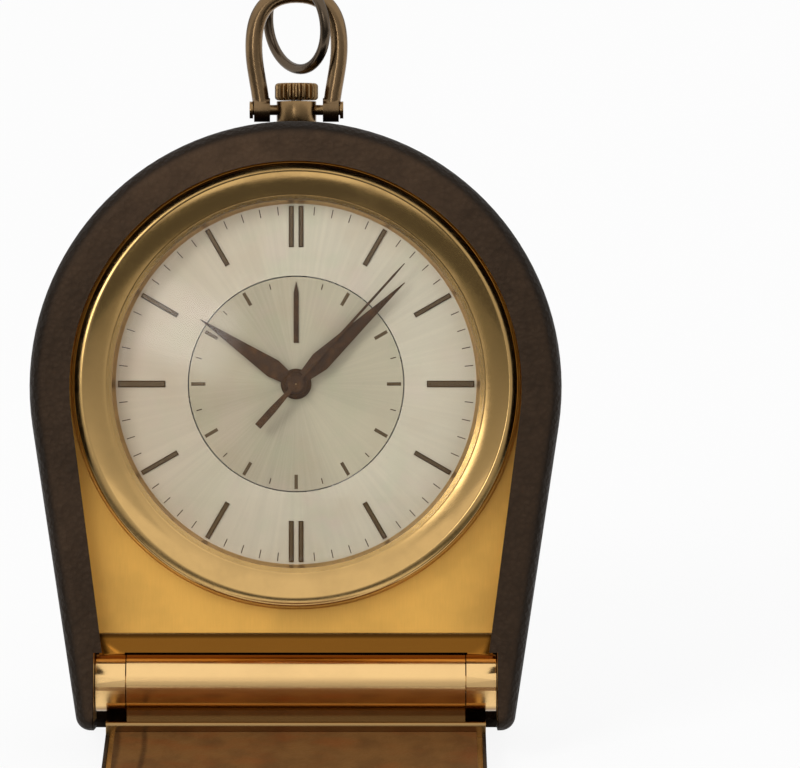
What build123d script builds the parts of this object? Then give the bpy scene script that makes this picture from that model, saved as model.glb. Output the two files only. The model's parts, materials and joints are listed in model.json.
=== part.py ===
from build123d import *

# A folding travel alarm clock, standing open. It leans back on its leather lid, which is
# hinged at the foot and lies on the table in front of it.
#
# Everything is drawn in the face frame, in millimetres: X to the right, Y up the dial, Z
# towards the reader, with the origin at the middle of the dial's surface. At the end each
# piece is tilted back by LEAN and set down, so that +Z is up and -Y is the front.

import math
import os

# Leaning and the outline of the case
LEAN = 12.0
ARC_DROP = 0.26
SIDE_TAPER = 8.5
HEEL_BELOW_HINGE = 4.05
HEEL_CORNER_R = 1.3
CASE_BACK = 11.0
RIM_FRONT = 5.6
RIM_WIDTH = 3.5
RIM_TAPER = 7.4
RIM_ROUND = 1.5
BACK_ROUND = 1.2
LEATHER = 0.8
LEATHER_TURN_IN = 0.6
FOOT_ARCH = 1.3
HOLLOW_SHARE = 0.7
HOLLOW_FLOOR = 4.0
SHELL_WALL = 0.8
BACK_WALL = 2.0
BACK_LEDGE = 1.2
FOOT_ARCH_INSET = 3.0
FOOT_ARCH_SHARE = 0.82

# Fits
FIT = 0.1
RUN = 0.05
GAP = 0.3

# Front plate, bezel and crystal
PLATE_TOP = 1.0
PLATE_THICK = 0.8
PLATE_BELOW_BEZEL = 2.35
GROOVE_WIDTH = 0.25
GROOVE_DEPTH = 0.3
BEZEL_WIDTH = 2.85
BEZEL_RUN = 0.25
BEZEL_ROUND = 0.4
BEZEL_HOLLOW = 0.13
BEZEL_GRIP = 0.1
BEZEL_CREST = 3.3
BEZEL_SKIRT_OUT = 2.2
BEZEL_SKIRT_WALL = 1.2
BEZEL_LIP = 0.5
GLASS_OVER_DIAL = 0.2
GLASS_EDGE = 1.7
GLASS_THICK = 0.8
GLASS_DOME = 1.5
GASKET_WALL = 0.25
REHAUT_TOP = 0.9
REHAUT_WALL = 0.6

# Dial, markers and hands
DIAL_THICK = 0.4
ALARM_DISC_R = 9.4
DISC_GAP = 0.1
MARKER_THICK = 0.2
MARKER_OUT = 15.6
MARKER_LONG = 3.6
MARKER_WIDE = 0.42
MARKER_SPREAD = 0.85
HAND_THICK = 0.15
HOUR_HAND_Z = 0.45
MINUTE_HAND_Z = 0.95
SECONDS_HAND_Z = 1.4
HOUR_HAND_LONG = 10.1
MINUTE_HAND_LONG = 13.0
SECONDS_HAND_LONG = 14.2
SECONDS_TAIL = 5.0
HOUR_ANGLE = 304.0
MINUTE_ANGLE = 47.0
SECONDS_ANGLE = 42.0

# Movement layers, as depths behind the dial's surface
MOVEMENT_R = 17.0
DIAL_INSET = 0.6
CASING_WALL = 1.7
PLATE_FACE = 2.2
MAIN_PLATE = 1.2
BRIDGE_FACE = 6.8
BRIDGE_THICK = 1.0
WORK_RECESS_INSET = 2.5
PILLAR_R = 0.9
PIVOT_R = 0.3
SCREW_R = 0.55
SCREW_HEAD_R = 1.0
SCREW_HEAD = 0.45

# Wheels: teeth and modules
TOOTH_UP = 0.85
TOOTH_DOWN = 1.1
TOOTH_SHARE = 0.40
TIP_SHARE = 0.5
MOTION_MODULE = 0.2
MINUTE_TEETH = 24
CANNON_LEAVES = 8
HOUR_TEETH = 32
MINUTE_LEAVES = 8
CENTRE_TEETH = 60
THIRD_LEAVES = 8
THIRD_TEETH = 64
FOURTH_LEAVES = 8
FOURTH_TEETH = 70
ESCAPE_LEAVES = 7
ESCAPE_TEETH = 15
ESCAPE_R = 2.5
BARREL_TEETH = 78
CENTRE_LEAVES = 12
THIRD_DISTANCE = 5.4
ESCAPE_DISTANCE = 5.3
BARREL_DISTANCE = 7.6
MINUTE_WHEEL_ANGLE = 200.0
THIRD_ANGLE = -30.0
ESCAPE_ANGLE = -105.0
BARREL_ANGLE = 150.0
BARREL_DRUM_R = 6.1
BALANCE_X = -6.4
BALANCE_Y = -9.2
BALANCE_R = 4.6
BALANCE_RIM = 0.7
ALARM_BARREL_X = 5.5
ALARM_BARREL_Y = 9.5
ALARM_BARREL_R = 4.3
ALARM_SET_DISTANCE = 10.2
ALARM_SET_ANGLE = -62.0
ALARM_RING_TEETH = 64
ALARM_SET_LEAVES = 16
HAMMER_X = 11.5
HAMMER_Y = -5.0
HAMMER_LONG = 6.0
HAMMER_HEAD_R = 1.1
RATCHET_R = 3.9
RATCHET_TEETH = 30

# Back
BACK_OVER_MOVEMENT = 0.5
BACK_COVER = 1.2
BACK_PROUD = 0.1
KEY_R = 3.0
SET_KNOB_R = 2.1
STOP_R = 1.5
STOP_TRAVEL = 0.8
STOP_X = 0.0
STOP_Y = -12.5

# Pendant, crown, bail and ring
PENDANT_DEPTH = 2.7
PENDANT_R = 1.75
PENDANT_HIGH = 1.9
CROWN_R = 1.9
CROWN_HIGH = 1.5
CROWN_PULL = 0.6
CROWN_FLUTES = 20
STEM_R = 0.5
STEM_NECK_R = 0.3
BAIL_WIRE_R = 0.75
BAIL_HALF = 3.02
BAIL_BULGE = 3.75
BAIL_PIVOT_UP = 1.15
RING_R = 3.95
RING_ABOVE_CROWN = 0.06
RING_WIRE_R = 0.45
RING_TWIST = 40.0

# Hinge and lid
HINGE_BELOW_PLATE = 4.35
BARREL_R = 2.5
BARREL_HALF = 17.5
KNUCKLE_LONG = 2.6
PIN_R = 0.9
NOTCH_BELOW_PLATE = 1.6
NOTCH_DEPTH = 3.2
LID_INSET = 0.45
LID_ROOT_INSET = 1.2
LID_FRAME = 0.8
LID_LINING = 0.5
LID_LINING_INSET = 0.5
LID_LEATHER = 1.1
LID_WRAP = 0.3
LID_CLEAR = 0.5
LID_WAIST_R = 6.0
LEAF_STEP = 2.95
LEAF_LONG = 2.6
LEAF_TAIL = 2.05

# Depths of the movement's layers, behind the dial
ALARM_DISC_TOP = -0.03
ALARM_DISC_BACK = -0.4
ALARM_RING_HIGH = -0.55
ALARM_RING_LOW = -0.85
ALARM_HUB_R = 3.0
ALARM_PIPE_LOW = -1.0
HOUR_WHEEL_HIGH = -1.2
HOUR_WHEEL_LOW = -1.55
CANNON_HIGH = -1.7
CANNON_LOW = -2.1
HOUR_PIPE_R = 1.05
CANNON_PIPE_R = 0.65
SECONDS_ARBOR_R = 0.3
CENTRE_HIGH = -3.55
CENTRE_LOW = -3.85
CENTRE_PINION_LOW = -5.2
ESCAPE_HIGH = -4.15
ESCAPE_LOW = -4.4
THIRD_HIGH = -5.6
THIRD_LOW = -5.9
FOURTH_LEAF_HIGH = -5.45
FOURTH_HIGH = -6.3
FOURTH_LOW = -6.6
BALANCE_HIGH = -5.5
BALANCE_LOW = -5.9
HAIRSPRING_HIGH = -6.2
HAIRSPRING_LOW = -6.5
HAIRSPRING_IN = 0.75
HAIRSPRING_R = 2.6
HAIRSPRING_STUD_R = 0.3
PALLET_BRIDGE_HIGH = -4.8
PALLET_BRIDGE_LOW = -5.2
BARREL_HIGH = -4.2
BARREL_LOW = -6.1
BARREL_TEETH_HIGH = -4.5
BARREL_TEETH_LOW = -4.9
BARREL_ARBOR_R = 0.8
RATCHET_THICK = 0.5
STOP_STEM_TOP = -7.0
PALLET_OFF = 0.5
PALLET_POST_REACH = 2.6
PILLAR_INSET = 1.6
PILLAR_ANGLES = (105.0, 20.0, -60.0, 200.0)
BALANCE_POST_ANGLES = (-148.8, -100.8)
BALANCE_BAR_HALF = 1.3
ALARM_BARREL_TEETH = 42
ALARM_STAR_LEAVES = 8
ALARM_STAR_DISTANCE = 5.0
ALARM_STAR_ANGLE = -50.0
POST_R = 0.8
STEM_POST_R = 0.6
KEY_TOP = 13.6
KEY_LIFT = 0.4
STEM_SLOT = 0.9
STEM_END = 9.0
STEM_GROOVE = 12.0
STEM_GROOVE_LONG = 0.9
PENDANT_SEAT = 21.0
BAIL_PIN_R = 0.45
BAIL_PIN_IN = 0.95
BAIL_EYE_R = 1.05

# Worked out from the sizes above, from the movement outwards
DIAL_R = MOVEMENT_R - DIAL_INSET
CASING_RING_R = MOVEMENT_R + CASING_WALL
WORK_RECESS_R = MOVEMENT_R - WORK_RECESS_INSET
PILLAR_REACH = MOVEMENT_R - PILLAR_INSET
BACK_R = MOVEMENT_R + BACK_OVER_MOVEMENT
GLASS_R = DIAL_R + GLASS_OVER_DIAL
BEZEL_LIP_R = GLASS_R - BEZEL_LIP
BEZEL_SKIRT_R = GLASS_R + BEZEL_SKIRT_OUT
BEZEL_R = GLASS_R + BEZEL_WIDTH
CASE_R = BEZEL_R + BEZEL_RUN + RIM_WIDTH
PLATE_FOOT = BEZEL_R + PLATE_BELOW_BEZEL
NOTCH_TOP = PLATE_FOOT + NOTCH_BELOW_PLATE
HINGE_DROP = PLATE_FOOT + HINGE_BELOW_PLATE
HEEL_DROP = HINGE_DROP + HEEL_BELOW_HINGE
LID_R = BEZEL_R - LID_INSET
LID_HALF = BARREL_HALF - LID_ROOT_INSET
RIM_R = CASE_R - RIM_WIDTH
SHELL_R = CASE_R - LEATHER
SHELL_IN_R = RIM_R + LEATHER_TURN_IN
PLATE_BOTTOM = PLATE_TOP - PLATE_THICK
GLASS_TOP = GLASS_EDGE + GLASS_THICK + GLASS_DOME
LID_IN = GLASS_TOP + LID_CLEAR
LID_FRAME_IN = LID_IN + LID_LINING
LID_OUT = LID_FRAME_IN + LID_FRAME + LID_LEATHER
DIAL_BACK = -DIAL_THICK
PLATE_Z = -PLATE_FACE
PLATE_BACK = -(PLATE_FACE + MAIN_PLATE)
BRIDGE_Z = -BRIDGE_FACE
BRIDGE_BACK = -(BRIDGE_FACE + BRIDGE_THICK)
BACK_SEAT = -(CASE_BACK - BACK_PROUD - BACK_COVER)
CASING_BACK = -(CASE_BACK - BACK_COVER - LEATHER) + FIT
PENDANT_FOOT = CASE_R - ARC_DROP
CROWN_FOOT = PENDANT_FOOT + PENDANT_HIGH + FIT
BAIL_PIVOT = PENDANT_FOOT + BAIL_PIVOT_UP
BAIL_TOP = CROWN_FOOT + CROWN_HIGH + CROWN_PULL + 2 * RING_R + RING_ABOVE_CROWN
SIN_LEAN = math.sin(math.radians(LEAN))
COS_LEAN = math.cos(math.radians(LEAN))
HEEL_FOOT = (
    -(CASE_BACK - BACK_ROUND) * SIN_LEAN - (HEEL_DROP - BACK_ROUND) * COS_LEAN - BACK_ROUND
)
BARREL_TURN = math.radians(BARREL_ANGLE)
BARREL_PLACE = (BARREL_DISTANCE * math.cos(BARREL_TURN), BARREL_DISTANCE * math.sin(BARREL_TURN))
HINGE_Z = (LID_OUT + HINGE_DROP * COS_LEAN + HEEL_FOOT) / (1 + SIN_LEAN)
LID_OPEN = 90.0 + LEAN


def at(distance, angle):
    """A place in the face plane, at a distance and an angle from the dial's middle."""
    turn = math.radians(angle)
    return distance * math.cos(turn), distance * math.sin(turn)


def clock(angle):
    """The usual angle of a hand that is read clockwise from twelve."""
    return 90.0 - angle


def drum(radius, low, high, x=0.0, y=0.0):
    """A round solid that stands on the face plane between two heights."""
    return Pos(x, y, low) * Cylinder(radius, high - low, align=(Align.CENTER, Align.CENTER, Align.MIN))


def pipe(outer, inner, low, high, x=0.0, y=0.0):
    """A round solid with a round hole right through it."""
    return drum(outer, low, high, x, y) - drum(inner, low - 1, high + 1, x, y)


def block(left, right, bottom, top, low, high):
    """A box between two places on each axis."""
    centre = Pos((left + right) / 2, (bottom + top) / 2, (low + high) / 2)
    return centre * Box(right - left, top - bottom, high - low)


def turned(points):
    """A ring or disc turned about the dial's middle from its section, given as (radius, z)."""
    section = make_face(Polyline(*[(r, 0, z) for r, z in points], close=True))
    return revolve(section, Axis.Z)


def arch(radius, drop, taper=SIDE_TAPER):
    """The outline of the case: a round head on two straight sides that draw in to the foot."""
    lean = math.radians(taper)
    side_x = radius * math.cos(lean)
    side_y = -ARC_DROP - radius * math.sin(lean)
    foot_x = side_x - (drop + side_y) * math.tan(lean)
    head = ThreePointArc((side_x, side_y), (0, radius - ARC_DROP), (-side_x, side_y))
    sides = Polyline((-side_x, side_y), (-foot_x, -drop), (foot_x, -drop), (side_x, side_y))
    return make_face(Wire([*head.edges(), *sides.edges()]))


def raised(outline, low, high):
    """An outline made solid between two heights."""
    return extrude(Pos(0, 0, low) * outline, high - low)


def toothed(teeth, module, low, high, phase=0.0):
    """A wheel or pinion about the dial's middle, with tapered teeth and running backlash."""
    pitch = teeth * module / 2
    root = pitch - TOOTH_DOWN * module
    tip = pitch + TOOTH_UP * module
    step = 360.0 / teeth
    points = []
    for tooth in range(teeth):
        middle = phase + tooth * step
        for radius, share in (
            (root, -TOOTH_SHARE * 1.35),
            (tip, -TOOTH_SHARE * TIP_SHARE),
            (tip, TOOTH_SHARE * TIP_SHARE),
            (root, TOOTH_SHARE * 1.35),
        ):
            points.append(at(radius, middle + share * step / 2 * 1.15))
    return raised(make_face(Polyline(*points, close=True)), low, high)


def crossed(wheel, outer, inner, low, high, arms=4, arm=0.7):
    """A wheel with its web cut away, all but the rim, the boss and a few arms."""
    window = pipe(outer, inner, low - 1, high + 1)
    for turn in range(arms):
        window -= Rot(0, 0, turn * 360.0 / arms) * block(0, outer + 1, -arm / 2, arm / 2, low - 2, high + 2)
    return wheel - window


def mesh_phase(teeth, other_teeth, other_phase, direction):
    """The turn at which a wheel's tooth gap takes the other wheel's tooth on their line."""
    other_step = 360.0 / other_teeth
    off = ((other_phase - direction) / other_step) % 1.0
    step = 360.0 / teeth
    return direction + 180.0 + (0.5 + off) * step


def moved(x, y, solid):
    return Pos(x, y, 0) * solid


# Case


def notch(low=-NOTCH_DEPTH):
    """The room across the foot that the hinge and the lid's root turn in."""
    half = BARREL_HALF + FIT
    return block(-half, half, -HEEL_DROP - 1, -NOTCH_TOP, low, RIM_FRONT + 1)


def foot_arch(cover=0.0):
    """The raised underside between the two heels, cut further into the shell by its leather."""
    half = CASE_R * FOOT_ARCH_SHARE - FOOT_ARCH_INSET + cover
    return block(-half, half, -HEEL_DROP - 1, -HEEL_DROP + FOOT_ARCH + cover, -CASE_BACK - 1, RIM_FRONT + 1)


def stem_way(radius):
    """The round way for the winding stem, from the top of the case to the movement."""
    way = Cylinder(radius, CASE_R, align=(Align.CENTER, Align.CENTER, Align.MIN))
    return Pos(0, WORK_RECESS_R - GAP, -PENDANT_DEPTH) * Rot(-90, 0, 0) * way


def shell_form():
    """The outside of the case body, inside its leather."""
    return raised(arch(SHELL_R, HEEL_DROP - LEATHER), -CASE_BACK + LEATHER, RIM_FRONT - LEATHER)


def case_shell():
    """The gilt brass body of the case, under its leather."""
    shell = shell_form()
    shell -= raised(arch(SHELL_IN_R, HEEL_DROP + 1, RIM_TAPER), PLATE_BOTTOM, RIM_FRONT + 1)
    shell -= drum(CASING_RING_R + FIT, -(CASE_BACK - BACK_COVER - LEATHER), PLATE_BOTTOM + 1)
    shell -= drum(BACK_R - BACK_LEDGE, -CASE_BACK - 1, 0)
    shell -= drum(BACK_R + FIT, -CASE_BACK - 1, BACK_SEAT)
    half = RIM_R * HOLLOW_SHARE
    low = -HEEL_DROP + HOLLOW_FLOOR
    shell -= block(-half, half, low, -CASING_RING_R - SHELL_WALL, -CASE_BACK + BACK_WALL, -NOTCH_DEPTH - 2 * LEATHER)
    shell -= notch(-NOTCH_DEPTH - LEATHER)
    shell -= foot_arch(LEATHER)
    shell -= stem_way(PENDANT_R - 0.55)
    return shell


def leather_wrap():
    """The dark leather that covers the case outside, over the rim and round the back."""
    form = raised(arch(CASE_R, HEEL_DROP), -CASE_BACK, RIM_FRONT)
    uprights = form.edges().filter_by(Axis.Z).sort_by(Axis.Y)[:2]
    form = fillet(uprights, HEEL_CORNER_R)
    form = fillet(form.faces().sort_by(Axis.Z)[-1].edges(), RIM_ROUND)
    form = fillet(form.faces().sort_by(Axis.Z)[0].edges(), BACK_ROUND)
    form -= shell_form() - foot_arch(LEATHER) - notch(-NOTCH_DEPTH - LEATHER)
    form -= raised(arch(RIM_R, HEEL_DROP + 1, RIM_TAPER), PLATE_TOP, RIM_FRONT + 1)
    form -= raised(arch(SHELL_IN_R, HEEL_DROP + 1, RIM_TAPER), PLATE_BOTTOM - 1, PLATE_TOP)
    form -= drum(BACK_R + FIT, -CASE_BACK - 1, 0)
    form -= notch()
    form -= foot_arch()
    form -= stem_way(PENDANT_R - 0.55)
    return form


def front_plate():
    """The gilt plate round the bezel, with a fine groove that sets the bezel off."""
    plate = raised(arch(SHELL_IN_R - FIT, PLATE_FOOT, RIM_TAPER), PLATE_BOTTOM, PLATE_TOP)
    plate -= drum(BEZEL_SKIRT_R + FIT, -1, RIM_FRONT)
    plate -= pipe(BEZEL_R + GROOVE_WIDTH, BEZEL_R, PLATE_TOP - GROOVE_DEPTH, RIM_FRONT)
    return plate


def bezel():
    """The polished ring that holds the crystal: a round outer slope and a hollow inner one."""
    seat = GLASS_R + GASKET_WALL
    edge = GLASS_EDGE + GLASS_THICK + RUN
    foot = (BEZEL_R, 0, PLATE_TOP)
    wall = (BEZEL_R, 0, BEZEL_CREST - BEZEL_ROUND)
    turn = BEZEL_ROUND * (1 - math.sqrt(0.5))
    shoulder = (BEZEL_R - turn, 0, BEZEL_CREST - turn)
    crest = (BEZEL_R - BEZEL_ROUND, 0, BEZEL_CREST)
    lip = (GLASS_R - BEZEL_GRIP, 0, edge + BEZEL_GRIP)
    dip = ((crest[0] + lip[0]) / 2, 0, (crest[2] + lip[2]) / 2 - BEZEL_HOLLOW)
    lines = [
        Line(foot, wall),
        ThreePointArc(wall, shoulder, crest),
        ThreePointArc(crest, dip, lip),
        Polyline(
            lip,
            (GLASS_R - BEZEL_GRIP, 0, edge),
            (seat, 0, edge),
            (seat, 0, GLASS_EDGE),
            (BEZEL_LIP_R, 0, GLASS_EDGE),
            (BEZEL_LIP_R, 0, REHAUT_TOP),
            (BEZEL_SKIRT_R - BEZEL_SKIRT_WALL, 0, REHAUT_TOP),
            (BEZEL_SKIRT_R - BEZEL_SKIRT_WALL, 0, PLATE_BOTTOM),
            (BEZEL_SKIRT_R, 0, PLATE_BOTTOM),
            (BEZEL_SKIRT_R, 0, PLATE_TOP),
            foot,
        ),
    ]
    section = make_face(Wire([edge for line in lines for edge in line.edges()]))
    return revolve(section, Axis.Z)


def crystal():
    """The domed crystal, of even thickness."""
    edge = GLASS_EDGE + GLASS_THICK
    bend = (GLASS_R**2 + GLASS_DOME**2) / (2 * GLASS_DOME)
    half = GLASS_R / 2
    sag = bend - math.sqrt(bend**2 - half**2)
    outer = ThreePointArc((GLASS_R, 0, edge), (half, 0, GLASS_TOP - sag), (0, 0, GLASS_TOP))
    inner = ThreePointArc(
        (0, 0, GLASS_TOP - GLASS_THICK),
        (half, 0, GLASS_TOP - GLASS_THICK - sag),
        (GLASS_R, 0, GLASS_EDGE),
    )
    middle = Line((0, 0, GLASS_TOP), (0, 0, GLASS_TOP - GLASS_THICK))
    rim = Line((GLASS_R, 0, GLASS_EDGE), (GLASS_R, 0, edge))
    section = make_face(Wire([e for c in (outer, middle, inner, rim) for e in c.edges()]))
    return revolve(section, Axis.Z)


def crystal_gasket():
    """The thin sealing ring between crystal and bezel."""
    return pipe(GLASS_R + GASKET_WALL, GLASS_R, GLASS_EDGE, GLASS_EDGE + GLASS_THICK)


def rehaut_ring():
    """The sloped ring that stands on the edge of the dial."""
    outer = BEZEL_SKIRT_R - BEZEL_SKIRT_WALL - FIT
    inner = DIAL_R - REHAUT_WALL
    return turned([(inner, 0), (outer, 0), (outer, REHAUT_TOP), (inner + 0.3, REHAUT_TOP)])


# Dial and hands


def dial():
    """The fixed hour ring of the dial, with room for the alarm disc in its middle."""
    return pipe(DIAL_R, ALARM_DISC_R + DISC_GAP, DIAL_BACK, 0)


def baton(angle, shift=0.0, wide=MARKER_WIDE, long=MARKER_LONG):
    """One applied baton with a bevelled top, lying along a radius."""
    bar = block(MARKER_OUT - long, MARKER_OUT, shift - wide / 2, shift + wide / 2, 0, MARKER_THICK)
    top = bar.faces().sort_by(Axis.Z)[-1]
    bar = chamfer(top.edges(), MARKER_THICK * 0.45)
    return Rot(0, 0, clock(angle)) * bar


def hour_markers():
    """Applied batons: two at twelve and at six, a broad one at three and nine."""
    bars = []
    for hour in range(12):
        angle = hour * 30.0
        if hour in (0, 6):
            bars += [baton(angle, MARKER_SPREAD / 2), baton(angle, -MARKER_SPREAD / 2)]
        elif hour in (3, 9):
            bars.append(baton(angle, 0, MARKER_WIDE * 1.35, MARKER_LONG * 1.15))
        else:
            bars.append(baton(angle))
    return Compound(children=[bar.solid() for bar in bars])


def alarm_disc():
    """The turning middle of the dial, with its toothed ring and pipe beneath."""
    module = 2 * ALARM_SET_DISTANCE / (ALARM_RING_TEETH + ALARM_SET_LEAVES)
    bore = HOUR_PIPE_R + RUN
    disc = drum(ALARM_DISC_R, ALARM_DISC_BACK, ALARM_DISC_TOP)
    disc += toothed(ALARM_RING_TEETH, module, ALARM_RING_LOW, ALARM_RING_HIGH)
    disc += drum(ALARM_HUB_R, ALARM_RING_LOW, ALARM_DISC_BACK)
    disc += drum(bore + 0.45, ALARM_PIPE_LOW, ALARM_RING_LOW)
    return disc - drum(bore, -MAIN_PLATE * 4, 1)


def alarm_pointer():
    """The small pointer fixed on the alarm disc."""
    tip = ALARM_DISC_R - 0.4
    points = [(0.22, 3.6), (0.22, tip - 1.0), (0, tip), (-0.22, tip - 1.0), (-0.22, 3.6)]
    return raised(make_face(Polyline(*points, close=True)), ALARM_DISC_TOP, ALARM_DISC_TOP + 0.15)


def hand(points, boss, bore, low, angle, tail=()):
    """A flat hand on a boss, with its outline given for the right half, pointing at twelve."""
    outline = [*points, *[(-x, y) for x, y in reversed(points) if x > 0]]
    blade = raised(make_face(Polyline(*outline, close=True)), low, low + HAND_THICK)
    if tail:
        back = [*tail, *[(-x, y) for x, y in reversed(tail)]]
        blade += raised(make_face(Polyline(*back, close=True)), low, low + HAND_THICK)
    blade += drum(boss, low, low + HAND_THICK)
    blade -= drum(bore, low - 1, low + 1)
    return Rot(0, 0, -angle) * blade


def hour_hand():
    points = [(0.35, 0), (0.75, HOUR_HAND_LONG * 0.55), (0.6, HOUR_HAND_LONG * 0.72), (0, HOUR_HAND_LONG)]
    return hand(points, 1.35, CANNON_PIPE_R + RUN, HOUR_HAND_Z, HOUR_ANGLE)


def minute_hand():
    points = [(0.3, 0), (0.62, MINUTE_HAND_LONG * 0.55), (0.5, MINUTE_HAND_LONG * 0.72), (0, MINUTE_HAND_LONG)]
    return hand(points, 1.1, SECONDS_ARBOR_R + RUN, MINUTE_HAND_Z, MINUTE_ANGLE)


def seconds_hand():
    points = [(0.14, 0), (0.1, SECONDS_HAND_LONG * 0.9), (0.04, SECONDS_HAND_LONG)]
    tail = [(0.14, 0), (0.32, -SECONDS_TAIL * 0.6), (0.32, -SECONDS_TAIL)]
    return hand(points, 0.75, 0.05, SECONDS_HAND_Z, SECONDS_ANGLE, tail)


# Movement


def motion_distance():
    return (MINUTE_TEETH + CANNON_LEAVES) * MOTION_MODULE / 2


def cannon_pinion():
    """The pipe that carries the minute hand, with the leaves that drive the motion work."""
    pinion = toothed(CANNON_LEAVES, MOTION_MODULE, CANNON_LOW, CANNON_HIGH, MINUTE_WHEEL_ANGLE)
    pinion += drum(CANNON_PIPE_R, CANNON_LOW, MINUTE_HAND_Z)
    return pinion - drum(SECONDS_ARBOR_R + RUN, CANNON_LOW - 1, MINUTE_HAND_Z + 1)


def minute_wheel():
    """The motion work's intermediate wheel and its pinion."""
    phase = mesh_phase(MINUTE_TEETH, CANNON_LEAVES, MINUTE_WHEEL_ANGLE, MINUTE_WHEEL_ANGLE)
    wheel = toothed(MINUTE_TEETH, MOTION_MODULE, CANNON_LOW, CANNON_HIGH, phase)
    module = 2 * motion_distance() / (HOUR_TEETH + MINUTE_LEAVES)
    wheel += toothed(MINUTE_LEAVES, module, CANNON_HIGH, HOUR_WHEEL_HIGH, MINUTE_WHEEL_ANGLE + 180)
    wheel -= drum(PIVOT_R + RUN, CANNON_LOW - 1, 0)
    return moved(*at(motion_distance(), MINUTE_WHEEL_ANGLE), wheel)


def hour_wheel():
    """The wheel and pipe that carry the hour hand."""
    module = 2 * motion_distance() / (HOUR_TEETH + MINUTE_LEAVES)
    phase = mesh_phase(HOUR_TEETH, MINUTE_LEAVES, MINUTE_WHEEL_ANGLE + 180, MINUTE_WHEEL_ANGLE + 180)
    wheel = toothed(HOUR_TEETH, module, HOUR_WHEEL_LOW, HOUR_WHEEL_HIGH, phase)
    wheel += drum(HOUR_PIPE_R, HOUR_WHEEL_LOW, HOUR_HAND_Z)
    return wheel - drum(CANNON_PIPE_R + RUN, HOUR_WHEEL_LOW - 1, 1)


def centre_wheel():
    """The wheel that turns once an hour, on its hollow arbor, with the barrel's pinion."""
    module = 2 * THIRD_DISTANCE / (CENTRE_TEETH + THIRD_LEAVES)
    wheel = toothed(CENTRE_TEETH, module, CENTRE_LOW, CENTRE_HIGH, THIRD_ANGLE)
    wheel = crossed(wheel, 3.9, 1.6, CENTRE_LOW, CENTRE_HIGH)
    pinion = 2 * BARREL_DISTANCE / (BARREL_TEETH + CENTRE_LEAVES)
    wheel += toothed(CENTRE_LEAVES, pinion, CENTRE_PINION_LOW, CENTRE_LOW, BARREL_ANGLE)
    wheel += drum(CANNON_PIPE_R, CENTRE_LOW, CANNON_LOW)
    return wheel - drum(SECONDS_ARBOR_R + RUN, CENTRE_PINION_LOW - 1, 0)


def arbor(low, high):
    """A plain arbor with a thinner pivot at each end, running in plate and bridge."""
    return drum(PIVOT_R, low, high)


def third_wheel():
    """The third wheel and its pinion."""
    module = 2 * THIRD_DISTANCE / (THIRD_TEETH + FOURTH_LEAVES)
    leaf = 2 * THIRD_DISTANCE / (CENTRE_TEETH + THIRD_LEAVES)
    wheel = crossed(toothed(THIRD_TEETH, module, THIRD_LOW, THIRD_HIGH, THIRD_ANGLE + 180), 4.0, 1.0,
                    THIRD_LOW, THIRD_HIGH)
    phase = mesh_phase(THIRD_LEAVES, CENTRE_TEETH, THIRD_ANGLE, THIRD_ANGLE)
    wheel += toothed(THIRD_LEAVES, leaf, THIRD_HIGH, CENTRE_HIGH + 0.05, phase)
    wheel += arbor(BRIDGE_BACK + 0.3, PLATE_Z - 0.3)
    return moved(*at(THIRD_DISTANCE, THIRD_ANGLE), wheel)


def seconds_wheel():
    """The wheel that turns once a minute, on the long arbor of the seconds hand."""
    leaf = 2 * THIRD_DISTANCE / (THIRD_TEETH + FOURTH_LEAVES)
    phase = mesh_phase(FOURTH_LEAVES, THIRD_TEETH, THIRD_ANGLE + 180, THIRD_ANGLE + 180)
    module = 2 * ESCAPE_DISTANCE / (FOURTH_TEETH + ESCAPE_LEAVES)
    wheel = crossed(toothed(FOURTH_TEETH, module, FOURTH_LOW, FOURTH_HIGH, ESCAPE_ANGLE), 3.8, 1.1,
                    FOURTH_LOW, FOURTH_HIGH)
    wheel += toothed(FOURTH_LEAVES, leaf, FOURTH_HIGH, FOURTH_LEAF_HIGH, phase)
    return wheel + arbor(BRIDGE_BACK + 0.3, SECONDS_HAND_Z)


def escape_wheel():
    """The fifteen-tooth escape wheel with its leaning teeth, and its pinion."""
    points = []
    for tooth in range(ESCAPE_TEETH):
        turn = tooth * 360.0 / ESCAPE_TEETH
        points += [at(ESCAPE_R * 0.78, turn), at(ESCAPE_R, turn + 7.0), at(ESCAPE_R, turn + 9.5),
                   at(ESCAPE_R * 0.78, turn + 8.5)]
    wheel = raised(make_face(Polyline(*points, close=True)), ESCAPE_LOW, ESCAPE_HIGH)
    wheel = crossed(wheel, ESCAPE_R * 0.62, 0.7, ESCAPE_LOW, ESCAPE_HIGH, 4, 0.4)
    module = 2 * ESCAPE_DISTANCE / (FOURTH_TEETH + ESCAPE_LEAVES)
    phase = mesh_phase(ESCAPE_LEAVES, FOURTH_TEETH, ESCAPE_ANGLE, ESCAPE_ANGLE)
    wheel += toothed(ESCAPE_LEAVES, module, FOURTH_LOW - 0.05, FOURTH_HIGH + 0.05, phase)
    wheel += arbor(BRIDGE_BACK + 0.3, PLATE_Z - 0.3)
    return moved(*at(ESCAPE_DISTANCE, ESCAPE_ANGLE), wheel)


def lever_line():
    """The direction and length from the escape wheel's middle to the balance's."""
    ex, ey = at(ESCAPE_DISTANCE, ESCAPE_ANGLE)
    return math.hypot(BALANCE_X - ex, BALANCE_Y - ey), math.degrees(math.atan2(BALANCE_Y - ey, BALANCE_X - ex))


def pallet_place():
    ex, ey = at(ESCAPE_DISTANCE, ESCAPE_ANGLE)
    px, py = at(ESCAPE_R + PALLET_OFF, lever_line()[1])
    return ex + px, ey + py


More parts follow.
